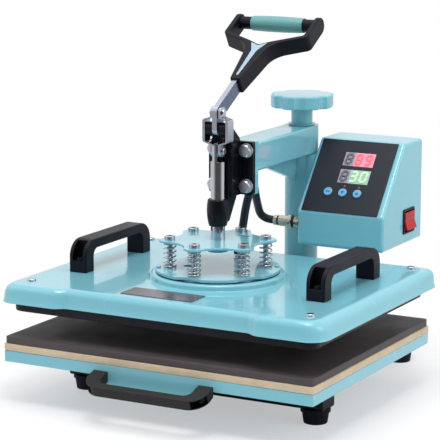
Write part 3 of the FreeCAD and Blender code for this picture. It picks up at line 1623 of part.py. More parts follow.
def build_base():
    rows = [(front_tube_y, front_tube_length), (rear_tube_y, rear_tube_length)]
    feet = [(side * (length / 2 - foot_end_inset), y) for side in (-1, 1) for y, length in rows]
    return {
        "cross_tubes": [cross_tube(y, length) for y, length in rows],
        "tube_plugs": [plug for y, length in rows for plug in both_sides(tube_plug(y, length))],
        "rubber_feet": [rubber_foot(x, y) for x, y in feet],
        "foot_screws": [piece for x, y in feet for piece in foot_fastener(x, y)],
        "side_rails": both_sides(side_rail()),
        "slide_outer": both_sides(slide_outer()),
        "pivot_post": [pivot_post()],
    }


def build_tray():
    return {
        "slide_inner": both_sides(slide_inner()),
        "tray_pan": [tray_pan()],
        "backing_pad": [backing_pad()],
        "silicone_mat": [silicone_mat()],
        "pull_handle": [on_apron(bow_handle(pull_handle_length, pull_handle_height))],
        "pull_handle_screws": [on_apron(screw) for screw in handle_screws(pull_handle_length, pan_sheet)],
    }


def build_head():
    corners = head_corner_places()
    element = tube_along(element_path(), element_radius)
    bow = bow_handle(head_handle_length, head_handle_height)
    coil = spring()
    return {
        "heating_plate": [heating_plate(element)],
        "heating_element": [element],
        "insulation_pad": [insulation_pad()],
        "head_supports": [load_ring()] + [corner_post(x, y) for x, y in corners],
        "head_cover": [head_cover()],
        "head_screws": [corner_screw(x, y) for x, y in corners] + head_handle_screws() + plate_screws(),
        "name_plate": [name_plate()],
        "cable_gland": [cable_gland()],
        "head_handles": [on_cover(bow, x) for x in (-head_handle_x, head_handle_x)],
        "lower_plate": [lower_plate()],
        "spring_bolts": [spring_bolt(x, y) for x, y in bolt_places()],
        "pressure_springs": [moved(coil, x, y, 0) for x, y in bolt_places()],
    }


def build_toggle():
    return {
        "upper_plate": [upper_plate()],
        "plunger_rod": [plunger_rod()],
        "toggle_links": both_sides(toggle_link()),
        "link_pins": both_sides(link_pin()),
        "lever_bar": [lever_bar()],
        "lever_pin": [lever_pin()],
        "handle_yoke": [handle_yoke()],
        "yoke_inlay": [on_lever(inlay_form())],
        "grip_barrel": [grip_barrel()],
        "grip_rod": [grip_rod()] + [on_lever(ferrule) for ferrule in both_sides(grip_ferrule())],
    }


def build_arm():
    bolts = clamp_bolt_places()
    return {
        "clamp_body": [clamp_body()],
        "clamp_bolts": [clamp_bolt(x, z) for x, z in bolts] + [clamp_washer(x, z) for x, z in bolts],
        "fulcrum_pin": [fulcrum_pin()],
        "arm_plates": [end_plate(), arm_gusset(), box_bracket()],
        "arm_beam": [arm_beam()],
        "column_tube": [column_tube()],
        "column_bushes": [column_bush(column_low), column_bush(shaft_high - bush_length)],
        "lock_knob": [lock_knob()],
        "knob_stud": [knob_stud(), knob_washer()],
    }


def build_control_box():
    screws = [back_screw(x, z, box_y1) for x, z in back_screw_places()]
    screws += [back_screw(x, inlet_z, inlet_face_y) for x in inlet_screw_places()]
    screws += [bracket_screw(y, z) for y, z in bracket_screw_places()]
    nodes = {
        "control_box": [control_box()],
        "back_cover": [back_cover()],
        "box_screws": screws,
        "control_panel": [control_panel()],
        "displays": [on_slope(display_block(y, 0)) for y in (temperature_along, timer_along)],
        "indicator_lamps": [indicator_lamp(x) for x in lamp_places()],
        "circuit_board": circuit_board() + [key_switch(x) for x in button_places()],
        "switch_frame": [switch_frame()],
        "power_rocker": [power_rocker()],
        "power_inlet": [power_inlet()] + inlet_pins(),
        "cable_socket": [cable_socket()],
        "cable_plug": [cable_plug()],
        "head_cable": [head_cable()],
    }
    for name, x in zip(("set_button", "down_button", "up_button"), button_places()):
        nodes[name] = [push_button(x)]
    return nodes


def save(nodes):
    for name, solids in nodes.items():
        placed = [moved(solid, 0, shift_y, 0) for solid in solids]
        shape = placed[0] if len(placed) == 1 else Part.makeCompound(placed)
        shape.exportStep("parts/%s.step" % name)


os.makedirs("parts", exist_ok=True)
save(build_base())
save(build_tray())
save(build_head())
save(build_toggle())
save(build_arm())
save(build_control_box())
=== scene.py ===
# %% [markdown]
# A swing-away heat press, dressed for a studio picture. The engineering model of the press is loaded
# first and never moved. Each cell below then gives one piece or one finish its looks: a cell of words
# says what the real thing is like, and the cell of code after it makes it. Lengths are in metres.

# %% Load the frame
import bmesh
import bpy
import json
import math
from mathutils import Matrix, Vector, noise


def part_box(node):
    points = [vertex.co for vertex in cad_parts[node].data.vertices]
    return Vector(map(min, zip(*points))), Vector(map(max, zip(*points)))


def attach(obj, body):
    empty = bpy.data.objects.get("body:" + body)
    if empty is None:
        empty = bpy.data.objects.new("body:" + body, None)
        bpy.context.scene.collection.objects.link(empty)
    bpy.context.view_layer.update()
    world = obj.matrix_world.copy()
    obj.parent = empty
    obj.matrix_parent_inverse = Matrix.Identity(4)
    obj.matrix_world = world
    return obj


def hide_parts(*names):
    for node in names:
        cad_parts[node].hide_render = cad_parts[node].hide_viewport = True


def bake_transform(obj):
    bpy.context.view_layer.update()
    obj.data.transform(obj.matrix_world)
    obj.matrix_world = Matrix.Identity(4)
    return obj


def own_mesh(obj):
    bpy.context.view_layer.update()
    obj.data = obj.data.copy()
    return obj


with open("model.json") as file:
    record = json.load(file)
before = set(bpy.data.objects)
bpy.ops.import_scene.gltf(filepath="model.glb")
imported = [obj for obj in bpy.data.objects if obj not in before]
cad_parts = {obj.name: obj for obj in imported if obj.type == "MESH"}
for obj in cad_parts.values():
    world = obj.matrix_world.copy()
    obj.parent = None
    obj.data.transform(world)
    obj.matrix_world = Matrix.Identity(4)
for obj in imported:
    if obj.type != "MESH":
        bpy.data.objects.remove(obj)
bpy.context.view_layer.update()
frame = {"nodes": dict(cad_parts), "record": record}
nodes = frame["nodes"]
scene = bpy.context.scene

# %% [markdown]
# The picture is taken from the front right and a little above, with a long lens, so the press keeps
# nearly parallel sides. A camera that looks at one target from a distance needs four numbers: the
# angle round the press, the angle above it, the distance and the lens.

# %% Camera
camera_azimuth = 28.68
camera_elevation = 11.0
camera_distance = 2.2778
camera_lens = 166.8
camera_target = Vector((0.0, -0.0396, 0.2005))


def new_object(name, data):
    made = bpy.data.objects.new(name, data)
    scene.collection.objects.link(made)
    return made


def direction_from(azimuth, elevation):
    """Unit vector from the press towards a viewer. Azimuth 0 is in front, 90 is on the right."""
    turn, rise = math.radians(azimuth), math.radians(elevation)
    return Vector((math.sin(turn) * math.cos(rise), -math.cos(turn) * math.cos(rise), math.sin(rise)))


def aimed_object(name, data, azimuth, elevation, distance):
    """A camera or lamp that looks at the press from a direction and a distance."""
    direction = direction_from(azimuth, elevation)
    made = new_object(name, data)
    made.location = camera_target + direction * distance
    made.rotation_euler = (-direction).to_track_quat("-Z", "Y").to_euler()
    return made


camera_data = bpy.data.cameras.new("camera")
camera_data.lens = camera_lens
scene.camera = aimed_object("camera", camera_data, camera_azimuth, camera_elevation, camera_distance)
print("camera at", [round(v, 3) for v in scene.camera.location])

# %% [markdown]
# The head's cable leaves a gland on the cover, rises behind the press casting, hangs over and bends
# into its plug at the control box. It is a round, sleeved cable of fixed length. A NURBS curve through
# a few control points gives it one smooth line. The tube is then swept along that line as a mesh. It
# runs between the moving head and the arm that stays.

# %% Pieces from meshes


def as_mesh(shape, name, *materials):
    """The mesh of a finished bmesh, with its materials."""
    mesh = bpy.data.meshes.new(name)
    shape.to_mesh(mesh)
    shape.free()
    for material in materials:
        mesh.materials.append(material)
    return mesh


def new_piece(name, mesh, slot, body=None, node=None):
    """A piece at the origin. It rides on a body and replaces a node. Its slot is not used."""
    piece = new_object(name, mesh)
    if body is not None:
        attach(piece, body)
    if node is not None:
        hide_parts(node)
    return piece


print("a new piece comes from", as_mesh.__name__, "and", new_piece.__name__)

# %% Cable
cable_radius = 0.00475
cable_sides = 28
cable_route = [
    (-0.018, 0.04245, 0.1506), (-0.018, 0.04245, 0.1633), (-0.0094, 0.03245, 0.1789),
    (-0.0035, 0.02845, 0.2053), (0.006, 0.02645, 0.2343), (-0.011, 0.05845, 0.2403),
    (-0.017, 0.07745, 0.2103), (-0.0242, 0.09765, 0.1929), (-0.0268, 0.10765, 0.1817),
    (-0.0246, 0.11235, 0.1765), (-0.0186, 0.11545, 0.1733), (-0.011, 0.11545, 0.1733)]


def smooth_line(points, steps):
    """Points along a NURBS spline of order 3 that has the given control points."""
    curve = bpy.data.curves.new("route", "CURVE")
    curve.dimensions = "3D"
    spline = curve.splines.new("NURBS")
    spline.points.add(len(points) - 1)
    for point, place in zip(spline.points, points):
        point.co = (*place, 1.0)
    spline.order_u = 3
    spline.use_endpoint_u = True
    spline.resolution_u = steps
    holder = bpy.data.objects.new("route", curve)
    line = bpy.data.meshes.new_from_object(holder)
    found = [vertex.co.copy() for vertex in line.vertices]
    bpy.data.objects.remove(holder)
    bpy.data.curves.remove(curve)
    bpy.data.meshes.remove(line)
    return found


def swept_tube(name, line, radius, sides):
    """A closed tube along a line, with a UV map: U runs round it and V along it, both in metres."""
    shape = bmesh.new()
    uv = shape.loops.layers.uv.new("UVMap")
    turns = [2 * math.pi * k / sides for k in range(sides)]
    across = Vector((1, 0, 0))
    rings, along = [], [0.0]
    for i, place in enumerate(line):
        ahead = (line[min(i + 1, len(line) - 1)] - line[max(i - 1, 0)]).normalized()
        across = (across - ahead * across.dot(ahead)).normalized()
        up = ahead.cross(across)
        rings.append([shape.verts.new(place + (across * math.cos(t) + up * math.sin(t)) * radius)
                      for t in turns])
        if i > 0:
            along.append(along[-1] + (place - line[i - 1]).length)
    girth = 2 * math.pi * radius
    for i in range(len(rings) - 1):
        for k in range(sides):
            n = (k + 1) % sides
            face = shape.faces.new((rings[i][k], rings[i][n], rings[i + 1][n], rings[i + 1][k]))
            face.smooth = True
            corners = ((k, i), (k + 1, i), (k + 1, i + 1), (k, i + 1))
            for loop, (part, step) in zip(face.loops, corners):
                loop[uv].uv = (girth * part / sides, along[step])
    shape.faces.new(list(reversed(rings[0])))
    shape.faces.new(rings[-1])
    return as_mesh(shape, name), along[-1]


cable_line = smooth_line(cable_route, 12)
cable_mesh, measured = swept_tube("cable", cable_line, cable_radius, cable_sides)
cable = new_piece("head_cable_sleeve", cable_mesh, "cable", node="head_cable")
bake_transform(cable)
print("cable:", len(cable_line), "points,", round(measured * 1000, 1), "mm")

# %% [markdown]
# Light, floor and finishes are all built from nodes, and a few small steps come back in each: a sum, a
# range moved to another, a soft noise. Each step is a helper that adds its node and gives back the
# socket with the result, so a longer tree reads as a list of steps.

# %% Node helpers


def add_node(tree, kind, values=None, **settings):
    """Add a node to a tree, set its properties, and link or set its inputs."""
    made = tree.nodes.new(kind)
    for name, value in settings.items():
        setattr(made, name, value)
    for key, value in (values or {}).items():
        if isinstance(value, bpy.types.NodeSocket):
            tree.links.new(value, made.inputs[key])
        else:
            made.inputs[key].default_value = value
    return made


def calculate(tree, operation, a, b=0.0, **settings):
    return add_node(tree, "ShaderNodeMath", {0: a, 1: b}, operation=operation, **settings).outputs[0]


def vector_math(tree, operation, a, b=None):
    """The result of a Vector Math node, which is one number for a length or a dot product."""
    values = {0: a} if b is None else {0: a, "Scale" if operation == "SCALE" else 1: b}
    made = add_node(tree, "ShaderNodeVectorMath", values, operation=operation)
    return made.outputs["Value" if operation in ("LENGTH", "DOT_PRODUCT") else "Vector"]


def remap(tree, value, start=0.0, end=1.0, low=0.0, high=1.0, **settings):
    """A value moved from one range to another, and held between its ends."""
    return add_node(tree, "ShaderNodeMapRange", {"Value": value, "From Min": start, "From Max": end,
                                                 "To Min": low, "To Max": high}, **settings).outputs[0]


def mottle(tree, where, scale, detail=2.0):
    """Soft noise about 0.5 at a point."""
    return add_node(tree, "ShaderNodeTexNoise", {"Vector": where, "Scale": scale,
                                                 "Detail": detail}).outputs[0]


def mixed(tree, share, a, b):
    """A colour between two others."""
    return add_node(tree, "ShaderNodeMix", {0: share, 6: a, 7: b}, data_type="RGBA").outputs[2]


def object_point(tree):
    """The point on the surface, in the press's own frame."""
    return add_node(tree, "ShaderNodeTexCoord").outputs["Object"]


def new_material(name):
    material = bpy.data.materials.new(name)
    material.use_nodes = True
    material.node_tree.nodes.clear()
    return material, material.node_tree


print("helpers for nodes are ready")

# %% [markdown]
# The picture is bright and nearly without shadows. A pale world gives an even level all round, and
# large soft lamps give the glossy paint its long highlights. A smaller one draws crisp white lines on
# rolled edges. The world looks plain white to the camera and is dimmer as a light, so the lamps still
# model the shapes. A polished bar needs something dark to mirror too, so in reflections the side of
# the room behind the photographer is dark.

# %% Light
white = (1.0, 1.0, 1.0, 1.0)
world_level = 0.52
room_level, room_span = 0.12, (0.2, 0.9)           # span: from the side of the room to its middle
horizon_level, horizon_span = 0.85, (0.1, 0.6)     # span: upwards, as the sine of the height
lamps = {  # azimuth, elevation, distance, size, power
    "top lamp": (20, 82, 1.9, 1.5, 24),
    "left lamp": (-70, 35, 2.0, 1.0, 4),
    "right lamp": (95, 28, 2.2, 1.3, 11),
    "small lamp": (30, 66, 1.9, 0.4, 7)}


def seen_directly(tree):
    """1 for rays from the camera, off a mirror or through glass, and 0 for light on the object."""
    path = add_node(tree, "ShaderNodeLightPath").outputs
    seen = calculate(tree, "MAXIMUM", path["Is Camera Ray"], path["Is Glossy Ray"])
    return calculate(tree, "MAXIMUM", seen, path["Is Transmission Ray"])


def dark_room(tree, facing):
    """The share of light that a mirror finds in a direction: less where the room behind the
    photographer is, which draws a dark line down polished bars, and less near the horizon."""
    near = vector_math(tree, "DOT_PRODUCT", facing, direction_from(camera_azimuth, 0.0))
    room = remap(tree, near, *room_span, 1.0, room_level, interpolation_type="SMOOTHSTEP")
    height = add_node(tree, "ShaderNodeSeparateXYZ", {0: facing}).outputs["Z"]
    ceiling = remap(tree, height, *horizon_span, horizon_level, 1.0, interpolation_type="SMOOTHSTEP")
    glossy = add_node(tree, "ShaderNodeLightPath").outputs["Is Glossy Ray"]
    return remap(tree, glossy, low=1.0, high=calculate(tree, "MULTIPLY", room, ceiling))


def make_world():
    world = bpy.data.worlds.new("studio")
    world.use_nodes = True
    tree = world.node_tree
    tree.nodes.clear()
    facing = add_node(tree, "ShaderNodeTexCoord").outputs["Generated"]
    level = remap(tree, seen_directly(tree), low=world_level)
    strength = calculate(tree, "MULTIPLY", level, dark_room(tree, facing))
    glow = add_node(tree, "ShaderNodeBackground", {"Color": white, "Strength": strength})
    add_node(tree, "ShaderNodeOutputWorld", {"Surface": glow.outputs[0]})
    return world


scene.world = make_world()
for name, (azimuth, elevation, distance, size, power) in lamps.items():
    light = bpy.data.lights.new(name, "AREA")
    light.shape, light.size, light.energy = "SQUARE", size, power
    aimed_object(name, light, azimuth, elevation, distance)
scene.view_settings.view_transform = "Standard"
print("lamps:", ", ".join(lamps))

# %% [markdown]
# The floor is pale and keeps the shadow of the press. Further out it turns into the white background,
# so no horizon shows. Only the camera and reflections see that white: as a light, the floor stays what
# it is.

# %% Floor
floor_reach = 12.0
floor_fade = (0.3, 0.95)       # from where on the white takes over, and where it has
floor_veil = 0.45              # the share of white under the press
floor_colour = (0.92, 0.92, 0.93, 1.0)


def floor_finish():
    material, tree = new_material("floor")
    where = object_point(tree)
    rough = remap(tree, mottle(tree, where, 3.0), low=0.5, high=0.7)
    near = add_node(tree, "ShaderNodeBsdfPrincipled", {"Base Color": floor_colour, "Roughness": rough})
    share_seen = dark_room(tree, vector_math(tree, "NORMALIZE", where))
    far = add_node(tree, "ShaderNodeEmission", {"Color": white, "Strength": share_seen})
    fade = remap(tree, vector_math(tree, "LENGTH", where), *floor_fade, floor_veil,
                 interpolation_type="SMOOTHSTEP")
    share = calculate(tree, "MULTIPLY", fade, seen_directly(tree))
    both = add_node(tree, "ShaderNodeMixShader", {0: share, 1: near.outputs[0], 2: far.outputs[0]})
    add_node(tree, "ShaderNodeOutputMaterial", {"Surface": both.outputs[0]})
    return material


floor_mesh = bpy.data.meshes.new("floor")
floor_mesh.from_pydata([(x * floor_reach, y * floor_reach, 0)
                        for x, y in ((-1, -1), (1, -1), (1, 1), (-1, 1))], [], [(0, 1, 2, 3)])
floor_mesh.materials.append(floor_finish())
new_object("floor", floor_mesh)
print("floor reaches", floor_reach, "m each way")

# %% [markdown]
# Several finishes share the same small effects, so each effect is a node group that is built once.
# Tone drift makes a colour slightly lighter and darker from place to place. Soft edges rounds the
# shading of a sharp edge, as a real edge is never a knife, and gives a mask of where edges are.
# Painted edge light uses that mask to paint a highlight along edges, in patches, and on the few finishes
# with a darker edge colour it paints shade there instead. Fine relief is the micro surface of paint,
# plastic or rubber. Drawn lines are the fine scratches of rolled or turned metal, which run one way.

# %% Tone drift
grey = (0.5, 0.5, 0.5, 1.0)
noise_span = (0.3, 0.7)     # most values of a noise lie between these


def new_group(name, inputs, outputs, kind="ShaderNodeTree"):
    """A node group with named inputs (name, kind, value) and outputs (name, kind)."""
    group = bpy.data.node_groups.new(name, kind)
    for socket_name, socket_kind, value in inputs:
        socket = group.interface.new_socket(socket_name, in_out="INPUT",
                                            socket_type="NodeSocket" + socket_kind)
        if value is not None:
            socket.default_value = value
    for socket_name, socket_kind in outputs:
        group.interface.new_socket(socket_name, in_out="OUTPUT", socket_type="NodeSocket" + socket_kind)
    return group, group.nodes.new("NodeGroupInput").outputs


def make_tone_drift():
    group, given = new_group("tone drift", [("Color", "Color", grey), ("Amount", "Float", 0.05),
                                            ("Scale", "Float", 8.0)], [("Color", "Color")])
    spread = mottle(group, object_point(group), given["Scale"], 3.0)
    low = calculate(group, "SUBTRACT", 1.0, given["Amount"])
    high = calculate(group, "ADD", 1.0, given["Amount"])
    level = remap(group, spread, *noise_span, low, high)
    add_node(group, "NodeGroupOutput", {0: vector_math(group, "SCALE", given["Color"], level)})
    return group


tone_drift = make_tone_drift()
print(tone_drift.name, "is ready")

# %% Soft edges and painted edge light
edge_span = (0.995, 0.8)    # how far the rounded and the plain normal agree, off and on an edge
patch_span = (0.35, 0.65)


def make_soft_edges():
    group, given = new_group("soft edges", [("Radius", "Float", 0.0005)],
                             [("Normal", "Vector"), ("Edge", "Float")])
    rounded = add_node(group, "ShaderNodeBevel", {"Radius": given["Radius"]}, samples=4).outputs[0]
    plain = add_node(group, "ShaderNodeNewGeometry").outputs["Normal"]
    edge = remap(group, vector_math(group, "DOT_PRODUCT", rounded, plain), *edge_span)
    add_node(group, "NodeGroupOutput", {"Normal": rounded, "Edge": edge})
    return group


# A painted highlight along edges, in patches. Where the edge colour is darker, it is painted shade.
def make_painted_edge_light():
    group, given = new_group("painted edge light", [("Color", "Color", grey), ("Edge Color", "Color", grey),
                                           ("Edge", "Float", 0.0), ("Amount", "Float", 0.3),
                                           ("Patch Scale", "Float", 60.0)], [("Color", "Color")])
    patches = mottle(group, object_point(group), given["Patch Scale"])
    patchy_light = remap(group, patches, *patch_span, high=given["Amount"])
    share = calculate(group, "MULTIPLY", patchy_light, given["Edge"])
    add_node(group, "NodeGroupOutput", {0: mixed(group, share, given["Color"], given["Edge Color"])})
    return group


soft_edges = make_soft_edges()
edge_light_group = make_painted_edge_light()
print(soft_edges.name, "and", edge_light_group.name, "are ready")

# %% Fine relief and drawn lines


def relief_group(name, extra, pattern_of):
    """A group that turns a pattern into a bump on the given normal and a changing roughness."""
    group, given = new_group(name, [("Normal", "Vector", None), extra, ("Depth", "Float", 0.00002),
                                    ("Low Roughness", "Float", 0.3), ("High Roughness", "Float", 0.4)],
                             [("Normal", "Vector"), ("Roughness", "Float")])
    height, patches = pattern_of(group, given)
    bump = add_node(group, "ShaderNodeBump", {"Distance": given["Depth"], "Height": height,
                                              "Normal": given["Normal"]})
    rough = remap(group, patches, *noise_span, given["Low Roughness"], given["High Roughness"])
    add_node(group, "NodeGroupOutput", {"Normal": bump.outputs[0], "Roughness": rough})
    return group


def grains(group, given):
    where = object_point(group)
    return mottle(group, where, given["Scale"]), mottle(group, where, 25.0, 4.0)


def scratches(group, given):
    lines = mottle(group, vector_math(group, "MULTIPLY", object_point(group), given["Stretch"]), 1.0, 3.0)
    return lines, lines


fine_relief = relief_group("fine relief", ("Scale", "Float", 800.0), grains)
drawn_lines = relief_group("drawn lines", ("Stretch", "Vector", (40.0, 900.0, 900.0)), scratches)
print("groups:", ", ".join(sorted(g.name for g in bpy.data.node_groups)))

# %% [markdown]
# A finish is a Principled shader with its plain numbers on its own sockets, and the shared groups
# plugged in where something changes over the surface. Colours are written as they look on a screen,
# from 0 to 255, and turned into the linear values that the shader works with. The depth of a relief is
# written in thousandths of a millimetre.

# %% Material builder
finishes = {}
sockets = {"metallic": "Metallic", "specular": "Specular IOR Level", "sheen": "Sheen Weight",
           "coat": "Coat Weight", "coat_roughness": "Coat Roughness", "coat_ior": "Coat IOR",
           "glow": "Emission Color", "glow_strength": "Emission Strength"}


def screen(red, green, blue):
    """A colour as it looks on a screen, as the shader's linear RGBA."""
    def linear(value):
        share = value / 255
        return share / 12.92 if share <= 0.04045 else ((share + 0.055) / 1.055) ** 2.4
    return (linear(red), linear(green), linear(blue), 1.0)


def add_group(tree, group, values):
    return add_node(tree, "ShaderNodeGroup", values, node_tree=group).outputs


def add_shader(name, material, values):
    """A Principled shader on a material's output. The material is kept under its finish's name."""
    shader = add_node(material.node_tree, "ShaderNodeBsdfPrincipled", values)
    add_node(material.node_tree, "ShaderNodeOutputMaterial", {"Surface": shader.outputs[0]})
    finishes[name] = material
    return shader


def make_finish(name, colour, surface, drift, painted_edge=None, edge=0.5, **plain):
    """A material. surface is a relief group and its values, drift the amount and scale of the colour's
    drift, painted_edge the colour and amount of the highlight painted along edges (painted shade where
    that colour is darker), and edge their rounding in millimetres. What follows is for the shader's own
    sockets."""
    material, tree = new_material(name)
    edges = add_group(tree, soft_edges, {"Radius": edge / 1000})
    tone = add_group(tree, tone_drift, {"Color": screen(*colour), "Amount": drift[0], "Scale": drift[1]})
    # Edges get a painted highlight in their edge colour, or painted shade where that colour is darker.
    if painted_edge is not None:
        tone = add_group(tree, edge_light_group, {"Color": tone["Color"], "Edge Color": screen(*painted_edge[0]),
                                           "Edge": edges["Edge"], "Amount": painted_edge[1]})
    group, values = surface
    relief = add_group(tree, group, {"Normal": edges["Normal"], **values})
    own = {sockets[word]: value for word, value in plain.items()}
    return add_shader(name, material, {**own, "Base Color": tone["Color"], "Normal": relief["Normal"],
                                       "Roughness": relief["Roughness"]})


def grain(scale, depth, low, high):
    return fine_relief, {"Scale": scale, "Depth": depth * 1e-6, "Low Roughness": low,
                         "High Roughness": high}


def brushed(stretch, depth, low, high):
    return drawn_lines, {"Stretch": stretch, "Depth": depth * 1e-6, "Low Roughness": low,
                         "High Roughness": high}


print("white written as", screen(255, 255, 255))

# %% [markdown]
# The sheet metal is sprayed in a light aqua and baked. The coat is glossy enough to mirror the springs
# in the cover, and has the faint, wide waves of sprayed paint. A clear coat over a coloured base gives
# both the depth of colour and the sharp reflection. The casting and the steel under the tray are
# black, with the coarser skin of a casting.

# %% Paints
# The lighter edge colours of both paints are painted highlight along their edges.
make_finish("aqua_paint", (124, 191, 206), grain(220, 12, 0.2, 0.28), (0.02, 5), ((170, 228, 240), 0.5),
            specular=0.25, coat=0.85, coat_roughness=0.05, coat_ior=1.4)
make_finish("black_paint", (8, 14, 20), grain(260, 60, 0.3, 0.45), (0.15, 30), ((66, 66, 72), 0.4),
            specular=0.12, coat=0.2, coat_roughness=0.15)
print("paints:", ", ".join(finishes))

# %% [markdown]
# The handles are moulded in black plastic with a fine spark-eroded texture that dulls the shine. The
# pull handle of the tray is a warmer grey of the same kind. Feet and grip are rubbery, and the
# silicone mat and its beige backing are matt and soft.

# %% Plastics and rubbers
# The lighter edge colours of the two plastics are painted highlight along their edges.
make_finish("black_plastic", (20, 21, 30), grain(1500, 30, 0.34, 0.46), (0.08, 12),
            ((112, 106, 122), 0.7), edge=0.8, specular=0.14)
make_finish("pull_plastic", (44, 43, 43), grain(1500, 30, 0.38, 0.5), (0.08, 12),
            ((96, 94, 92), 0.5), edge=0.8, specular=0.2)
# Painted shade for the insides of the screw wells.
make_finish("well_shade", (8, 8, 9), grain(1500, 30, 0.5, 0.6), (0.08, 12), specular=0.1)
make_finish("rubber", (14, 18, 26), grain(900, 80, 0.6, 0.75), (0.15, 40), specular=0.2)
make_finish("silicone", (78, 71, 74), grain(1800, 20, 0.5, 0.62), (0.05, 10), specular=0.3)
make_finish("pad", (204, 186, 160), grain(700, 250, 0.75, 0.9), (0.08, 60), specular=0.25, sheen=0.1)
make_finish("grip", (92, 152, 154), grain(1400, 30, 0.4, 0.5), (0.05, 20), specular=0.4, coat=0.6,
            coat_roughness=0.35)
make_finish("inlay", (158, 182, 198), grain(900, 10, 0.2, 0.3), (0.03, 20), specular=0.4)
# The button's darker edge colour is painted shade round its rim.
make_finish("button", (112, 172, 212), grain(900, 10, 0.2, 0.3), (0.04, 60), ((70, 120, 170), 0.8),
            specular=0.5)
make_finish("button_sign", (48, 96, 140), grain(900, 10, 0.3, 0.4), (0.05, 60), specular=0.3)
# Painted shade for the rings round the buttons.
make_finish("button_ring_shade", (12, 30, 42), grain(900, 10, 0.4, 0.5), (0.1, 60), specular=0.3)
make_finish("unlit_digit", (112, 106, 122), grain(900, 10, 0.25, 0.35), (0.05, 60), specular=0.3)
make_finish("rocker", (176, 0, 14), grain(600, 10, 0.16, 0.24), (0.04, 40), specular=0.2, coat=0.12,
            coat_roughness=0.05)
make_finish("panel", (33, 36, 46), grain(2600, 20, 0.36, 0.44), (0.05, 12), specular=0.25)
make_finish("board", (28, 96, 52), grain(500, 40, 0.3, 0.45), (0.2, 120), specular=0.5)
make_finish("insulation", (205, 198, 182), grain(400, 400, 0.85, 0.95), (0.1, 90), specular=0.2)
print("plastics and rubbers:", len(finishes) - 2)

# %% [markdown]
# The small bright parts are plated. Chrome on the plunger and springs is a near mirror. Zinc on the
# lever, links and bolts is duller, with drawn lines. The plug is nickel over brass, which gives it a
# warm tint. The heating plate's edge shows as its dark non-stick coating.

# %% Metals
turned, rolled = (900, 900, 60), (90, 20, 20)
make_finish("chrome", (196, 198, 204), brushed(turned, 4, 0.05, 0.12), (0.03, 40), edge=0.3, metallic=1)
# The lighter edge colours of zinc, nickel and the name plate are painted highlight along their edges.
make_finish("zinc_steel", (192, 197, 208), brushed(rolled, 1, 0.2, 0.26), (0.04, 40),
            ((236, 238, 242), 0.5), edge=0.2, metallic=1)
make_finish("nickel", (196, 192, 182), brushed((60, 900, 900), 6, 0.1, 0.2), (0.06, 60),
            ((240, 232, 205), 0.6), edge=0.3, metallic=1)
make_finish("brass", (214, 178, 110), brushed(turned, 6, 0.15, 0.25), (0.06, 60), edge=0.3, metallic=1)
make_finish("name_plate", (108, 98, 106), brushed((30, 2500, 900), 8, 0.16, 0.26), (0.04, 30),
            ((190, 190, 196), 0.8), edge=0.3, metallic=0.6)
make_finish("plate", (22, 22, 30), grain(1200, 30, 0.35, 0.5), (0.12, 30), specular=0.25)
make_finish("dark_steel", (40, 40, 46), grain(600, 10, 0.3, 0.45), (0.1, 60), metallic=0.7)
# The bolts' darker edge colour is painted shade along their edges.
make_finish("bolt_zinc", (226, 229, 238), grain(600, 10, 0.3, 0.38), (0.05, 60),
            ((110, 114, 124), 0.6), edge=0.6, metallic=1)
make_finish("shaded_steel", (104, 118, 138), brushed(rolled, 1, 0.25, 0.32), (0.04, 40), edge=0.2,
            metallic=1)
print("finishes:", len(finishes))

# %% [markdown]
# The cable wears a fine braided sleeve that stands the heat. Its braid follows the cable round its
# bends, so the pattern reads the tube's own UV map, which is in metres: two sets of diagonal waves
# cross, and the higher of the two is the strand on top.

# %% Braided sleeve
braid_pitch = 0.0022
strand_depth = 0.00008


def make_braid():
    group, given = new_group("braid", [("Pitch", "Float", 0.002)], [("Height", "Float")])
    place = add_node(group, "ShaderNodeUVMap", uv_map="UVMap").outputs[0]
    rate = calculate(group, "DIVIDE", 2 * math.pi, given["Pitch"])
    waves = []
    for lean in (1.0, -1.0):
        along = vector_math(group, "DOT_PRODUCT", place, (1.0, lean, 0.0))
        waves.append(calculate(group, "SINE", calculate(group, "MULTIPLY", along, rate)))
    add_node(group, "NodeGroupOutput", {"Height": calculate(group, "MAXIMUM", *waves)})
    return group


def make_sleeve():
    material, tree = new_material("cable")
    strand = add_group(tree, braid, {"Pitch": braid_pitch})["Height"]
    # Where the braid lies low it is darker: painted shade between the strands.
    tone = mixed(tree, remap(tree, strand, -0.4), screen(22, 22, 28), screen(42, 42, 50))
    bump = add_node(tree, "ShaderNodeBump", {"Distance": strand_depth, "Height": strand})
    add_shader("cable", material, {"Base Color": tone, "Normal": bump.outputs[0],
                                   "Roughness": remap(tree, strand, -0.4, 1.0, 0.55, 0.38),
                                   "Specular IOR Level": 0.4})
    return material


braid = make_braid()
cable.data.materials.append(make_sleeve())
print("braid pitch", braid_pitch * 1000, "mm")

# %% [markdown]
# Each display is a window of grey smoked plastic over three digits. The first digit is off. Round the
# two that are on, the window glows in their colour. The glow is a mask on the object's own X, with a
# soft left edge, and it feeds the emission colour, while the digits themselves are separate shapes.

# %% Display windows
display_middle = 0.0829
display_width = 0.0385
glow_start = display_middle - display_width / 6


def make_lit_part():
    group, given = new_group("lit part", [("Color", "Color", white), ("Edge X", "Float", 0.0),
                                          ("Softness", "Float", 0.001)], [("Color", "Color")])
    x = add_node(group, "ShaderNodeSeparateXYZ", {0: object_point(group)}).outputs["X"]
    past = calculate(group, "SUBTRACT", x, given["Edge X"])
    level = calculate(group, "DIVIDE", past, given["Softness"], use_clamp=True)
    spread = remap(group, mottle(group, object_point(group), 250.0), low=0.85, high=1.15)
    share = calculate(group, "MULTIPLY", level, spread)
    add_node(group, "NodeGroupOutput", {0: vector_math(group, "SCALE", given["Color"], share)})
    return group


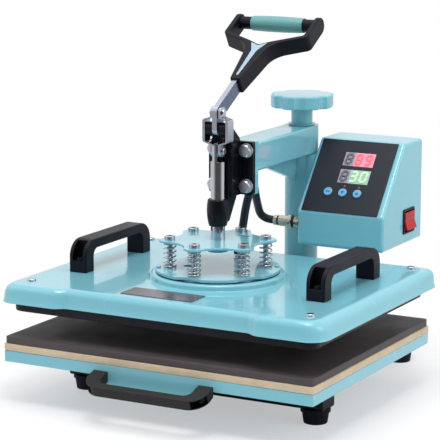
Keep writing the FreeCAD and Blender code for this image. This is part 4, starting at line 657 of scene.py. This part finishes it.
def make_window(name, *glow):
    shader = make_finish(name, (160, 153, 170), grain(900, 10, 0.22, 0.3), (0.06, 120), coat=0.3,
                         glow_strength=1.0)
    tree = finishes[name].node_tree
    lit = add_group(tree, lit_part, {"Color": screen(*glow), "Edge X": glow_start, "Softness": 0.001})
    tree.links.new(lit["Color"], shader.inputs["Emission Color"])


def make_glow(name, colour, strength):
    """A lit shape: its light is even, with a slight change from place to place."""
    make_finish(name, colour, grain(900, 10, 0.3, 0.4), (0.05, 200), glow=screen(*colour),
                glow_strength=strength)


lit_part = make_lit_part()
make_window("red_window", 198, 52, 74)
make_window("green_window", 72, 138, 78)
make_glow("red_digit", (255, 96, 108), 0.8)
make_glow("green_digit", (176, 240, 176), 0.8)
make_glow("lamp_dot", (150, 62, 72), 0.2)
print("windows start to glow at x =", round(glow_start * 1000, 1), "mm")

# %% [markdown]
# Most pieces already have their real shape in the engineering model, so they keep it and only get a
# finish. The record says which material slot each piece has. A few pieces are painted or coated
# differently from the rest of their slot, and these are named one by one.

# %% Dress the carried-over pieces
own_finish = {"pull_handle": "pull_plastic", "displays": "red_window", "indicator_lamps": "lamp_dot",
              "pull_handle_screws": "black_paint", "clamp_bolts": "bolt_zinc"}

for entry in frame["record"]["subparts"]:
    materials = nodes[entry["node"]].data.materials
    materials.clear()
    materials.append(finishes[own_finish.get(entry["node"], entry["material_slot"])])

# %% [markdown]
# Some pieces need a second finish on part of their faces. The two displays are one piece in the
# engineering model, but glow in two colours, and their height on the slope tells them apart. The
# screws deep in the handles and the wells they sit in are painted near black, as shade, while the
# corner screws of the cover are bright. The washer under the knob is painted, and the sockets of the
# bolts are painted dark, as little light gets into them. So are two grooves and the collar of the
# plug, as painted shade, and the sides of the lever, which face away from the lamps.

# %% Second finishes
press_axis_y = -0.04455
column_y = 0.16445
stud_radius = 0.006
bolt_circle, bolt_angles = 0.0536, range(30, 390, 60)
socket_radius, socket_depth = 0.0032, 0.0035
plate_screws_x, corner_screws_x = 0.08, 0.16     # the handles' screws lie between the two
well_x, well_half_width, well_length, well_floor = 0.1493, 0.0068, 0.0126, 0.0129
# Two grooves and the collar of the plug, which are painted dark as shade.
plug_shaded_bands = [(-0.0062, -0.0033), (0.0075, 0.009), (0.0136, 1.0)]
skin = 0.0001


def paint_faces(node, material, chosen):
    """Give a second material to the faces of a node whose centre is chosen."""
    mesh = nodes[node].data
    mesh.materials.append(finishes[material])
    picked = [face for face in mesh.polygons if chosen(face.center)]
    for face in picked:
        face.material_index = len(mesh.materials) - 1
    print(node, "has", len(picked), "of", len(mesh.polygons), "faces in", material)


def in_socket(point):
    """True inside the socket of the nearest bolt on the upper plate."""
    places = [(bolt_circle * math.cos(math.radians(a)),
               press_axis_y + bolt_circle * math.sin(math.radians(a))) for a in bolt_angles]
    away = min(math.hypot(point.x - x, point.y - y) for x, y in places)
    return away < socket_radius and bolt_top - socket_depth < point.z < bolt_top - skin


def in_well(point):
    """True inside the screw wells at the ends of the head's handles."""
    past = abs(point.y - (grips_low.y + grips_high.y) / 2) - (grips_high.y - grips_low.y) / 2
    return (past > -well_length and abs(abs(point.x) - well_x) < well_half_width
            and point.z > grips_low.z + well_floor)


bolt_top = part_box("spring_bolts")[1].z
bar_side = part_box("lever_bar")[1].x
grips_low, grips_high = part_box("head_handles")
split_level = sum(corner.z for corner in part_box("displays")) / 2
paint_faces("displays", "green_window", lambda p: p.z < split_level)
# The handles' screws sit deep in their wells and are painted dark, as shade.
paint_faces("head_screws", "dark_steel", lambda p: plate_screws_x < abs(p.x) < corner_screws_x)
paint_faces("head_screws", "aqua_paint", lambda p: abs(p.x) < plate_screws_x)
paint_faces("spring_bolts", "dark_steel", in_socket)
paint_faces("knob_stud", "aqua_paint", lambda p: math.hypot(p.x, p.y - column_y) > stud_radius + 0.002)
# The insides of the handles' wells are painted near black, as shade.
paint_faces("head_handles", "well_shade", in_well)
# Two grooves and the collar of the plug are painted dark, as shade.
paint_faces("cable_plug", "dark_steel", lambda p: any(a < p.x < b for a, b in plug_shaded_bands))
paint_faces("lever_bar", "shaded_steel", lambda p: abs(p.x) > bar_side - skin)

# %% [markdown]
# Six steel springs stand round the bolts between the head's plate and the upper plate. They repeat in
# a circle and follow a helix, so Geometry Nodes make them: one helix from a line whose points are moved
# round, a round wire along it, and a copy on each of six points. The first and the last turn lie flat
# against the plates, as on a real compression spring. When the lever is pressed all the way, the
# springs get shorter, and squash gives them that.

# %% Spring tree
spring_sizes = {"Count": 6, "Circle Radius": bolt_circle, "First Angle": math.radians(bolt_angles[0]),
                "Centre Y": press_axis_y, "Foot Z": 0.1479, "Height": 0.0289, "Coil Radius": 0.0067,
                "Wire Radius": 0.0008, "Turns": 6.5}
spring_steps = 223
wire_sides = 10
spring_turn = 2.1       # radians from one spring to the next, so that their ends don't line up


def wind(tree, given):
    """The points of one spring, as the places to which a line's points move."""
    index = add_node(tree, "GeometryNodeInputIndex").outputs[0]
    turn = calculate(tree, "MULTIPLY", calculate(tree, "DIVIDE", index, float(spring_steps)),
                     given["Turns"])
    angle = calculate(tree, "MULTIPLY", turn, 2 * math.pi)
    x, y = [calculate(tree, "MULTIPLY", calculate(tree, wave, angle), given["Coil Radius"])
            for wave in ("COSINE", "SINE")]
    wire = calculate(tree, "MULTIPLY", given["Wire Radius"], 2.0)
    open_turns = calculate(tree, "SUBTRACT", given["Turns"], 2.0)
    left = calculate(tree, "SUBTRACT", given["Height"], calculate(tree, "MULTIPLY", wire, 3.0))
    after_first = calculate(tree, "SUBTRACT", turn, 1.0)
    before_last = calculate(tree, "SUBTRACT", after_first, open_turns)
    flat = calculate(tree, "ADD", calculate(tree, "MINIMUM", turn, 1.0),
                     calculate(tree, "MAXIMUM", before_last, 0.0))
    risen = calculate(tree, "DIVIDE", after_first, open_turns, use_clamp=True)
    rise = calculate(tree, "ADD", calculate(tree, "MULTIPLY", flat, wire),
                     calculate(tree, "MULTIPLY", risen, left))
    z = calculate(tree, "ADD", rise, given["Wire Radius"])
    return add_node(tree, "ShaderNodeCombineXYZ", {0: x, 1: y, 2: z}).outputs[0]


def make_spring_tree():
    inputs = [(name, "Int" if name == "Count" else "Float", value) for name, value in spring_sizes.items()]
    inputs = [("Geometry", "Geometry", None)] + inputs + [("Material", "Material", None)]
    tree, given = new_group("springs on a circle", inputs, [("Geometry", "Geometry")], "GeometryNodeTree")

    def step(kind, **values):
        """Add a geometry node. Its inputs' names are written with lines for their spaces."""
        return add_node(tree, kind, {k.replace("_", " "): v for k, v in values.items()}).outputs[0]

    line = step("GeometryNodeCurvePrimitiveLine", End=(0.0, 0.0, 1.0))
    points = step("GeometryNodeResampleCurve", Curve=line, Count=spring_steps + 1)
    coil = step("GeometryNodeSetPosition", Geometry=points, Position=wind(tree, given))
    section = step("GeometryNodeCurvePrimitiveCircle", Resolution=wire_sides, Radius=given["Wire Radius"])
    wound = step("GeometryNodeCurveToMesh", Curve=coil, Profile_Curve=section, Fill_Caps=True)
    ring = step("GeometryNodeMeshCircle", Vertices=given["Count"], Radius=given["Circle Radius"])
    centre = step("ShaderNodeCombineXYZ", Y=given["Centre Y"], Z=given["Foot Z"])
    seats = step("GeometryNodeTransform", Geometry=ring, Translation=centre,
                 Rotation=step("ShaderNodeCombineXYZ", Z=given["First Angle"]))
    turned_by = calculate(tree, "MULTIPLY", step("GeometryNodeInputIndex"), spring_turn)
    copies = step("GeometryNodeInstanceOnPoints", Points=seats, Instance=wound,
                  Rotation=step("ShaderNodeCombineXYZ", Z=turned_by))
    smooth = step("GeometryNodeSetShadeSmooth", Geometry=step("GeometryNodeRealizeInstances",
                                                              Geometry=copies))
    dressed = step("GeometryNodeSetMaterial", Geometry=smooth, Material=given["Material"])
    add_node(tree, "NodeGroupOutput", {0: dressed})
    return tree


def settled(thing):
    """A plain mesh of an object as its modifiers leave it."""
    bpy.context.view_layer.update()
    return bpy.data.meshes.new_from_object(thing.evaluated_get(bpy.context.evaluated_depsgraph_get()))


def grown(name, tree, sizes):
    """Run a geometry tree with its sizes and keep the result as a plain mesh."""
    grower = new_object(name + " grower", bpy.data.meshes.new(name + " seed"))
    modifier = grower.modifiers.new("grow", "NODES")
    modifier.node_group = tree
    for item in tree.interface.items_tree:
        if item.item_type == "SOCKET" and item.in_out == "INPUT" and item.name in sizes:
            modifier[item.identifier] = sizes[item.name]
    mesh = settled(grower)
    grower.modifiers.remove(modifier)
    bpy.data.objects.remove(grower)
    mesh.name = name
    return mesh


spring_mesh = grown("plate_springs", make_spring_tree(), {**spring_sizes, "Material": finishes["chrome"]})
springs = new_piece("plate_springs", spring_mesh, "chrome", "head", "pressure_springs")
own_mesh(springs)
print("springs:", len(spring_mesh.polygons), "faces")

# %% [markdown]
# The head's cover is one drawn steel sheet, and drawing leaves no sharp edge. Its sides flare at the
# very bottom and roll over into the top, in a wider curve at the two ends than along the front and
# back. Front and back are set in over their middle, which stiffens the sheet. A low round step carries
# the lower plate, and a raised seat on the step keeps a dark gap under the plate's rim. The cover is
# built as rings of points, from the bottom edge over the roll and the step to the middle, once for the
# outside and once, a sheet's thickness further in, for the inside.

# %% Cover outline
cover_sheet = 0.0015
front_corner, rear_corner = 0.022, 0.0135
waist_start, waist_end, waist_depth = 0.113, 0.123, 0.0075
waist_bends = (0.0125, 0.009)
outline_step, corner_step = 0.006, math.radians(5)


def round_corners(corners, step):
    """Outline through corners (x, y, radius), counter-clockwise, as points with inward directions."""
    found = []
    for i, (x, y, radius) in enumerate(corners):
        point = Vector((x, y))
        before = (Vector(corners[i - 1][:2]) - point).normalized()
        after = (Vector(corners[(i + 1) % len(corners)][:2]) - point).normalized()
        half = before.angle(after) / 2
        side = 1 if before.x * after.y < before.y * after.x else -1
        centre = point + (before + after).normalized() * radius / math.sin(half)
        start = point + before * radius / math.tan(half) - centre
        turn = math.pi - 2 * half
        steps = math.ceil(turn / corner_step)
        for k in range(steps + 1):
            out = start.copy()
            out.rotate(Matrix.Rotation(side * turn * k / steps, 2))
            found.append((centre + out, -side * out.normalized()))
    outline = []
    for i, (point, inward) in enumerate(found):
        after = found[(i + 1) % len(found)][0]
        pieces = max(1, math.ceil((after - point).length / step))
        outline += [(point.lerp(after, k / pieces), inward) for k in range(pieces)]
    return outline


cover_low, cover_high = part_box("head_cover")
half_x, half_y = (cover_high.x - cover_low.x) / 2, (cover_high.y - cover_low.y) / 2
waist = [(waist_end, half_y, waist_bends[0]), (waist_start, half_y - waist_depth, waist_bends[1])]
rear = [(half_x, half_y, rear_corner)] + waist
front = [(half_x, half_y, front_corner)] + waist
cover_corners = rear + [(-x, y, r) for x, y, r in reversed(rear)]
cover_corners += [(-x, -y, r) for x, y, r in front] + [(x, -y, r) for x, y, r in reversed(front)]
cover_outline = round_corners(cover_corners, outline_step)
print("cover outline:", len(cover_outline), "points round", round(half_x * 2000), "x",
      round(half_y * 2000), "mm")

# %% Cover rings
cover_top_height = 0.0243
skirt_lift = 0.0037
flare, flare_height = 0.0022, 0.0045
roll_radii = (0.0075, 0.0125)
wide_from, wide_over = (0.86, 0.88), (0.14, 0.3)     # across and back, as shares of half the cover
wall_shares = (0.0, 0.04, 0.12, 0.25, 0.45, 0.7, 1.0)
roll_steps, step_steps = 10, 8
step_foot = [(0.0765, 0.0), (0.0762, 0.00015), (0.076, 0.0005), (0.0758, 0.003)]   # radius, rise
step_round = 0.003
shoulder_drop = 0.0016
seat_rings = [(0.063, 0.0), (0.0625, 0.0003), (0.062, 0.0016)]
step_height = cover_high.z - cover_low.z - cover_top_height


def held(value):
    return min(1.0, max(0.0, value))


def roll_at(x, y):
    """The roll's radius: wider along the two ends of the cover, but not in the rear corners."""
    share = held((abs(x) / half_x - wide_from[0]) / wide_over[0])
    share *= held((wide_from[1] - y / half_y) / wide_over[1])
    return roll_radii[0] + (roll_radii[1] - roll_radii[0]) * share * share * (3 - 2 * share)


def side_ring(gap, wall_share, roll_angle):
    """One ring of the side: part of the way up the wall, or at an angle round the roll."""
    ring = []
    for point, inward in cover_outline:
        roll = roll_at(point.x, point.y) - gap
        wall = cover_top_height - skirt_lift - gap - roll
        rise = wall_share * wall + roll * math.sin(roll_angle)
        inset = gap + flare * (1 - math.exp(-rise / flare_height)) + roll * (1 - math.cos(roll_angle))
        place = point + inward * inset
        ring.append(Vector((place.x, place.y + (cover_low.y + cover_high.y) / 2,
                            cover_low.z + skirt_lift + rise)))
    return ring


def cover_rings(gap):
    rings = [side_ring(gap, share, 0.0) for share in wall_shares]
    rings += [side_ring(gap, 1.0, math.radians(90 * k / roll_steps)) for k in range(1, roll_steps + 1)]
    axis = Vector((0, press_axis_y, 0))
    top = cover_low.z + cover_top_height - gap
    away = [Vector((p.x, p.y - axis.y, 0)).normalized() for p in rings[-1]]

    def circle(radius, rise):
        return [axis + d * (radius - gap) + Vector((0, 0, top + rise)) for d in away]

    foot, rim = circle(*step_foot[0]), rings[-1]
    rings += [[a.lerp(b, share) for a, b in zip(rim, foot)] for share in (0.03, 0.5, 0.97)]
    rings += [circle(radius, rise) for radius, rise in step_foot]
    radius, rise = step_foot[-1]
    for k in range(1, step_steps + 1):
        angle = math.radians(90 * k / step_steps)
        rings.append(circle(radius - step_round * (1 - math.cos(angle)),
                            rise + (step_height - shoulder_drop - rise) * math.sin(angle)))
    return rings + [circle(radius, step_height - shoulder_drop + rise) for radius, rise in seat_rings]


def bridge(shape, low, high, smooth=False):
    """Faces between two closed rings of as many points."""
    for i in range(len(low)):
        n = (i + 1) % len(low)
        shape.faces.new((low[i], low[n], high[n], high[i])).smooth = smooth


def make_cover():
    shape = bmesh.new()
    sides = [[[shape.verts.new(p) for p in ring] for ring in cover_rings(gap)] for gap in (0, cover_sheet)]
    bands = [pair for rings in sides for pair in zip(rings, rings[1:])]
    for low, high in bands + [(sides[0][0], sides[1][0])]:
        bridge(shape, low, high, smooth=True)
    for rings in sides:
        shape.faces.new(rings[-1])
    bmesh.ops.recalc_face_normals(shape, faces=shape.faces[:])
    return as_mesh(shape, "cover shell", finishes["aqua_paint"])


cover = new_piece("cover_shell", make_cover(), "aqua_paint", "head", "head_cover")
print("cover:", len(cover.data.polygons), "faces")

# %% [markdown]
# The pull handle of the tray is a moulded bow that droops a little, so that fingers find it from above.
# It starts as a flat outline with round shoulders, which gets a thickness and bevelled edges. A well at
# each end takes the screw, and is cut with a boolean; its inside is painted near black, as shade. Then
# the bow is tilted down, and its feet are pressed flat against the apron.

# %% Pull handle
bow_half, bow_leg, bow_reach, bow_bar = 0.074, 0.0177, 0.0297, 0.0092
bow_shoulder, bow_inner, bow_foot = 0.02, 0.009, 0.0004
bow_width, bow_edge = 0.0119, 0.0012
bow_droop = math.radians(20)
bow_well, bow_well_floor, bow_well_width = 0.0125, 0.013, 0.0092
bow_drop = 0.0009       # of its top, below the model's
foot_press = 0.0015     # what lies nearer to the apron than this is pressed against it
foot_y, foot_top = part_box("pull_handle")[1].y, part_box("pull_handle")[1].z - bow_drop


def add_prism(shape, outline, low, high):
    """A closed prism on a flat outline (x, y), counter-clockwise, between two levels."""
    bottom, top = [[shape.verts.new((x, y, z)) for x, y in outline] for z in (low, high)]
    shape.faces.new(top)
    shape.faces.new(list(reversed(bottom)))
    bridge(shape, bottom, top)


def prism(name, outline, low, high):
    shape = bmesh.new()
    add_prism(shape, outline, low, high)
    return as_mesh(shape, name)


def bow_outline():
    foot, under = bow_half - bow_leg, bow_reach - bow_bar
    corners = [(foot, under, bow_inner), (foot, 0.0, bow_foot), (bow_half, 0.0, bow_foot),
               (bow_half, bow_reach, bow_shoulder)]
    corners += [(-x, y, r) for x, y, r in reversed(corners)]
    return [tuple(point) for point, inward in round_corners(corners, 0.01)]


def cut_wells(bow):
    """Bevel the bow and cut the two screw wells, as a new mesh."""
    body = new_object("bow", bow)
    bevel = body.modifiers.new("edges", "BEVEL")
    bevel.width, bevel.segments, bevel.limit_method = bow_edge, 2, "ANGLE"
    cutters = []
    for side in (1, -1):
        ends = sorted((side * (bow_half - bow_well), side * (bow_half + 0.001)))
        floor, past = bow_well_floor, bow_reach + 0.001
        box = [(ends[0], floor), (ends[1], floor), (ends[1], past), (ends[0], past)]
        cutters.append(new_object("well", prism("well", box, -bow_well_width / 2, bow_well_width / 2)))
        cut = body.modifiers.new("well", "BOOLEAN")
        cut.operation, cut.solver, cut.object = "DIFFERENCE", "EXACT", cutters[-1]
    mesh = settled(body)
    body.modifiers.clear()
    for left in cutters + [body]:
        bpy.data.objects.remove(left)
    return mesh


def make_pull_handle():
    mesh = cut_wells(prism("bow", bow_outline(), -bow_width / 2, bow_width / 2))
    mesh.materials.clear()
    for name in ("pull_plastic", "well_shade"):
        mesh.materials.append(finishes[name])
    # Faces inside the two wells get the painted shade.
    for face in mesh.polygons:
        x, y, z = face.center
        inside = abs(x) > bow_half - bow_well - skin and y > bow_well_floor - skin
        face.material_index = int(inside and abs(z) < bow_well_width / 2 + skin)
    cosine, sine = math.cos(bow_droop), math.sin(bow_droop)
    middle_z = foot_top - bow_width / 2 * cosine
    for vertex in mesh.vertices:
        x, y, z = vertex.co
        drooped_y = foot_y if y < foot_press else foot_y - cosine * y - sine * z
        vertex.co = (x, drooped_y, middle_z - sine * y + cosine * z)
    return mesh


handle = new_piece("drooping_handle", make_pull_handle(), "black_plastic", "tray", "pull_handle")
print("pull handle:", len(handle.data.polygons), "faces")

# %% [markdown]
# Behind the handle the pan's apron hangs down. The drooping bow stands higher against it than the plain
# bow of the model, so the apron ends higher too. The pan is therefore a copy of the model's, with loose
# triangles joined and the apron's lower edge lifted.

# %% Apron
apron_low = 0.0395
apron_reach = 0.071


def make_pan():
    shape = bmesh.new()
    shape.from_mesh(nodes["tray_pan"].data)
    bmesh.ops.remove_doubles(shape, verts=shape.verts[:], dist=0.00001)
    skirt_low = min(v.co.z for v in shape.verts if abs(v.co.x) > apron_reach)
    lifted = [v for v in shape.verts if v.co.z < skirt_low - 0.001]
    for vertex in lifted:
        vertex.co.z = apron_low
    print("lifted", len(lifted), "corners of the apron to", apron_low * 1000, "mm")
    return as_mesh(shape, "tray pan", finishes["aqua_paint"])


new_piece("pan_shell", make_pan(), "aqua_paint", "tray", "tray_pan")

# %% [markdown]
# The press works against a soft stack on the tray: a beige heat-resistant pad below and a dark silicone
# mat on top. Both are cut from sheet, so their edges are square but never quite sharp or quite
# straight. Each is a slab with small rounded edges and enough faces that its cut sides can waver.

# %% Mat and backing pad
pad_edge = 0.0009
cut_step = 0.006
waver_rate = 45.0
side_share = 0.98       # what lies further out than this wavers


def slice_across(shape, axis, low, high):
    """Cut a slab into strips across an axis, a step apart."""
    for k in range(1, int((high[axis] - low[axis]) / cut_step)):
        cut, normal = Vector((0, 0, 0)), Vector((0, 0, 0))
        cut[axis], normal[axis] = low[axis] + k * cut_step, 1
        bmesh.ops.bisect_plane(shape, geom=shape.verts[:] + shape.edges[:] + shape.faces[:],
                               plane_co=cut, plane_no=normal)


def soft_slab(name, node, corner, waver, slot):
    """A cut sheet in the box of a node, with rounded corners in plan, soft edges and wavering sides."""
    low, high = [Vector(corner_point) for corner_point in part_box(node)]
    shape = bmesh.new()
    bmesh.ops.create_cube(shape, size=1.0)
    for vertex in shape.verts:
        vertex.co = Vector([low[i] if vertex.co[i] < 0 else high[i] for i in range(3)])
    uprights = [e for e in shape.edges if abs(e.verts[0].co.z - e.verts[1].co.z) > 1e-6]
    bmesh.ops.bevel(shape, geom=uprights, offset=corner, segments=6, affect="EDGES", profile=0.5)
    rims = [e for e in shape.edges if abs(e.verts[0].co.z - e.verts[1].co.z) < 1e-6]
    bmesh.ops.bevel(shape, geom=rims, offset=pad_edge, segments=3, affect="EDGES", profile=0.5)
    for axis in (0, 1):
        slice_across(shape, axis, low, high)
    middle = (low + high) / 2
    for vertex in shape.verts:
        out = Vector((vertex.co.x - middle.x, vertex.co.y - middle.y, 0))
        if max(abs(out.x) / (high.x - middle.x), abs(out.y) / (high.y - middle.y)) > side_share:
            vertex.co += out.normalized() * waver * (noise.noise(vertex.co * waver_rate) - 1.0) / 2
    for face in shape.faces:
        face.smooth = True
    piece = new_piece(name, as_mesh(shape, name, finishes[slot]), slot, "tray", node)
    print(name, "has", len(piece.data.polygons), "faces")


soft_slab("pressing_mat", "silicone_mat", 0.004, 0.0002, "silicone")
soft_slab("beige_backing", "backing_pad", 0.002, 0.0006, "pad")

# %% [markdown]
# The digits of the displays have seven bars each, as on any such display: three across and four
# upright, with pointed ends. A table says which bars make which digit. Each bar is a thin plate that
# stands a hair above the window. The panel slopes, so a matrix takes points from the panel's own plane,
# with X to the right and Y up the slope, to their real place.

# %% Panel plane and digits
panel_x, panel_y, panel_z = 0.0775, 0.10545, 0.1893
panel_slope = math.radians(51.87)
panel_face, display_face = 0.0012, 0.0028
temperature_along, timer_along = 0.0733, 0.0502
bars_of = {"3": "abcdg", "0": "abcdef", "8": "abcdefg", "9": "abcdfg"}
digit_width, digit_height, bar_width = 0.0068, 0.0122, 0.0022
digit_pitch = 0.0125
digit_lean = math.tan(math.radians(6))
bar_gap = 0.0002
sunk = 0.0001       # how far a sign's underside lies in what carries it
from_panel = (Matrix.Translation((panel_x, panel_y, panel_z))
              @ Matrix.Rotation(panel_slope, 4, "X"))     # with the height above the slope as Z


def bar_outline(bar):
    """The six corners of one bar, about the middle of the digit."""
    w, h, t = digit_width / 2, digit_height / 2, bar_width / 2
    level = {"a": h, "g": 0.0, "d": -h}
    if bar in level:
        y = level[bar]
        return [(-w, y), (-w + t, y + t), (w - t, y + t), (w, y), (w - t, y - t), (-w + t, y - t)]
    x = w if bar in "bc" else -w
    low, high = (0.0, h) if bar in "bf" else (-h, 0.0)
    return [(x, low), (x + t, low + t), (x + t, high - t), (x, high), (x - t, high - t), (x - t, low + t)]


def shrunk(outline, gap):
    """An outline whose corners have moved towards its middle."""
    middle = Vector((sum(x for x, y in outline), sum(y for x, y in outline))) / len(outline)
    return [Vector(point) - (Vector(point) - middle).normalized() * gap for point in outline]


def panel_plates(name, outlines, floor, thickness, slot, material, body="arm", gap=0.0):
    """A piece of thin closed plates on the panel, from outlines in its plane."""
    shape = bmesh.new()
    for outline in outlines:
        add_prism(shape, shrunk(outline, gap), floor, floor + thickness)
    bmesh.ops.recalc_face_normals(shape, faces=shape.faces[:])
    mesh = as_mesh(shape, name, finishes[material])
    mesh.transform(from_panel)
    new_piece(name, mesh, slot, body)


def digits(name, text, first_cell, along, material):
    """Digits from a cell of the window on: its middle cell is 0."""
    outlines = []
    for cell, sign in enumerate(text, first_cell):
        centre_x = display_middle - panel_x + cell * digit_pitch
        for bar in bars_of[sign]:
            outlines.append([(centre_x + x + y * digit_lean, along + y) for x, y in bar_outline(bar)])
    panel_plates(name, outlines, display_face - sunk, 0.0002, "display", material, gap=bar_gap)


digits("temperature_digits", "89", 0, temperature_along, "red_digit")
digits("timer_digits", "30", 0, timer_along, "green_digit")
digits("unlit_temperature_digit", "8", -1, temperature_along, "unlit_digit")
digits("unlit_timer_digit", "8", -1, timer_along, "unlit_digit")
print("digits are", digit_width * 1000, "by", digit_height * 1000, "mm")

# %% [markdown]
# The three buttons carry plain signs instead of words: a bar, and a triangle each way. A sign is a thin
# raised plate that rides on its own button, so it goes in with it. Round each button the panel has a
# dark ring of painted shade, which makes the pale buttons stand out.

# %% Button signs and painted shade rings
button_face = 0.0028
sign_thickness, ring_thickness = 0.00018, 0.00012
ring_radii = (0.0056, 0.0069)
ring_parts = 32
signs = {"set": [(-0.0024, -0.0008), (0.0024, -0.0008), (0.0024, 0.0008), (-0.0024, 0.0008)],
         "down": [(0.0, -0.0021), (0.0023, 0.0015), (-0.0023, 0.0015)],
         "up": [(-0.0023, -0.0015), (0.0023, -0.0015), (0.0, 0.0021)]}


def ring_outlines(x, y):
    turns = [2 * math.pi * k / ring_parts for k in range(ring_parts + 1)]
    inner, outer = [[(x + r * math.cos(t), y + r * math.sin(t)) for t in turns] for r in ring_radii]
    return [(inner[k], outer[k], outer[k + 1], inner[k + 1]) for k in range(ring_parts)]


rings = []
for word, sign in signs.items():
    low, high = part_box(word + "_button")
    x, y, z = from_panel.inverted() @ ((Vector(low) + Vector(high)) / 2)
    panel_plates(word + "_button_sign", [[(x + a, y + b) for a, b in sign]], button_face - sunk,
                 sign_thickness, "button", "button_sign", "button_" + word)
    rings += ring_outlines(x, y)
# The rings are painted shade round the buttons.
panel_plates("button_shade_rings", rings, panel_face, ring_thickness, "panel", "button_ring_shade")
print("rings round", len(signs), "buttons")
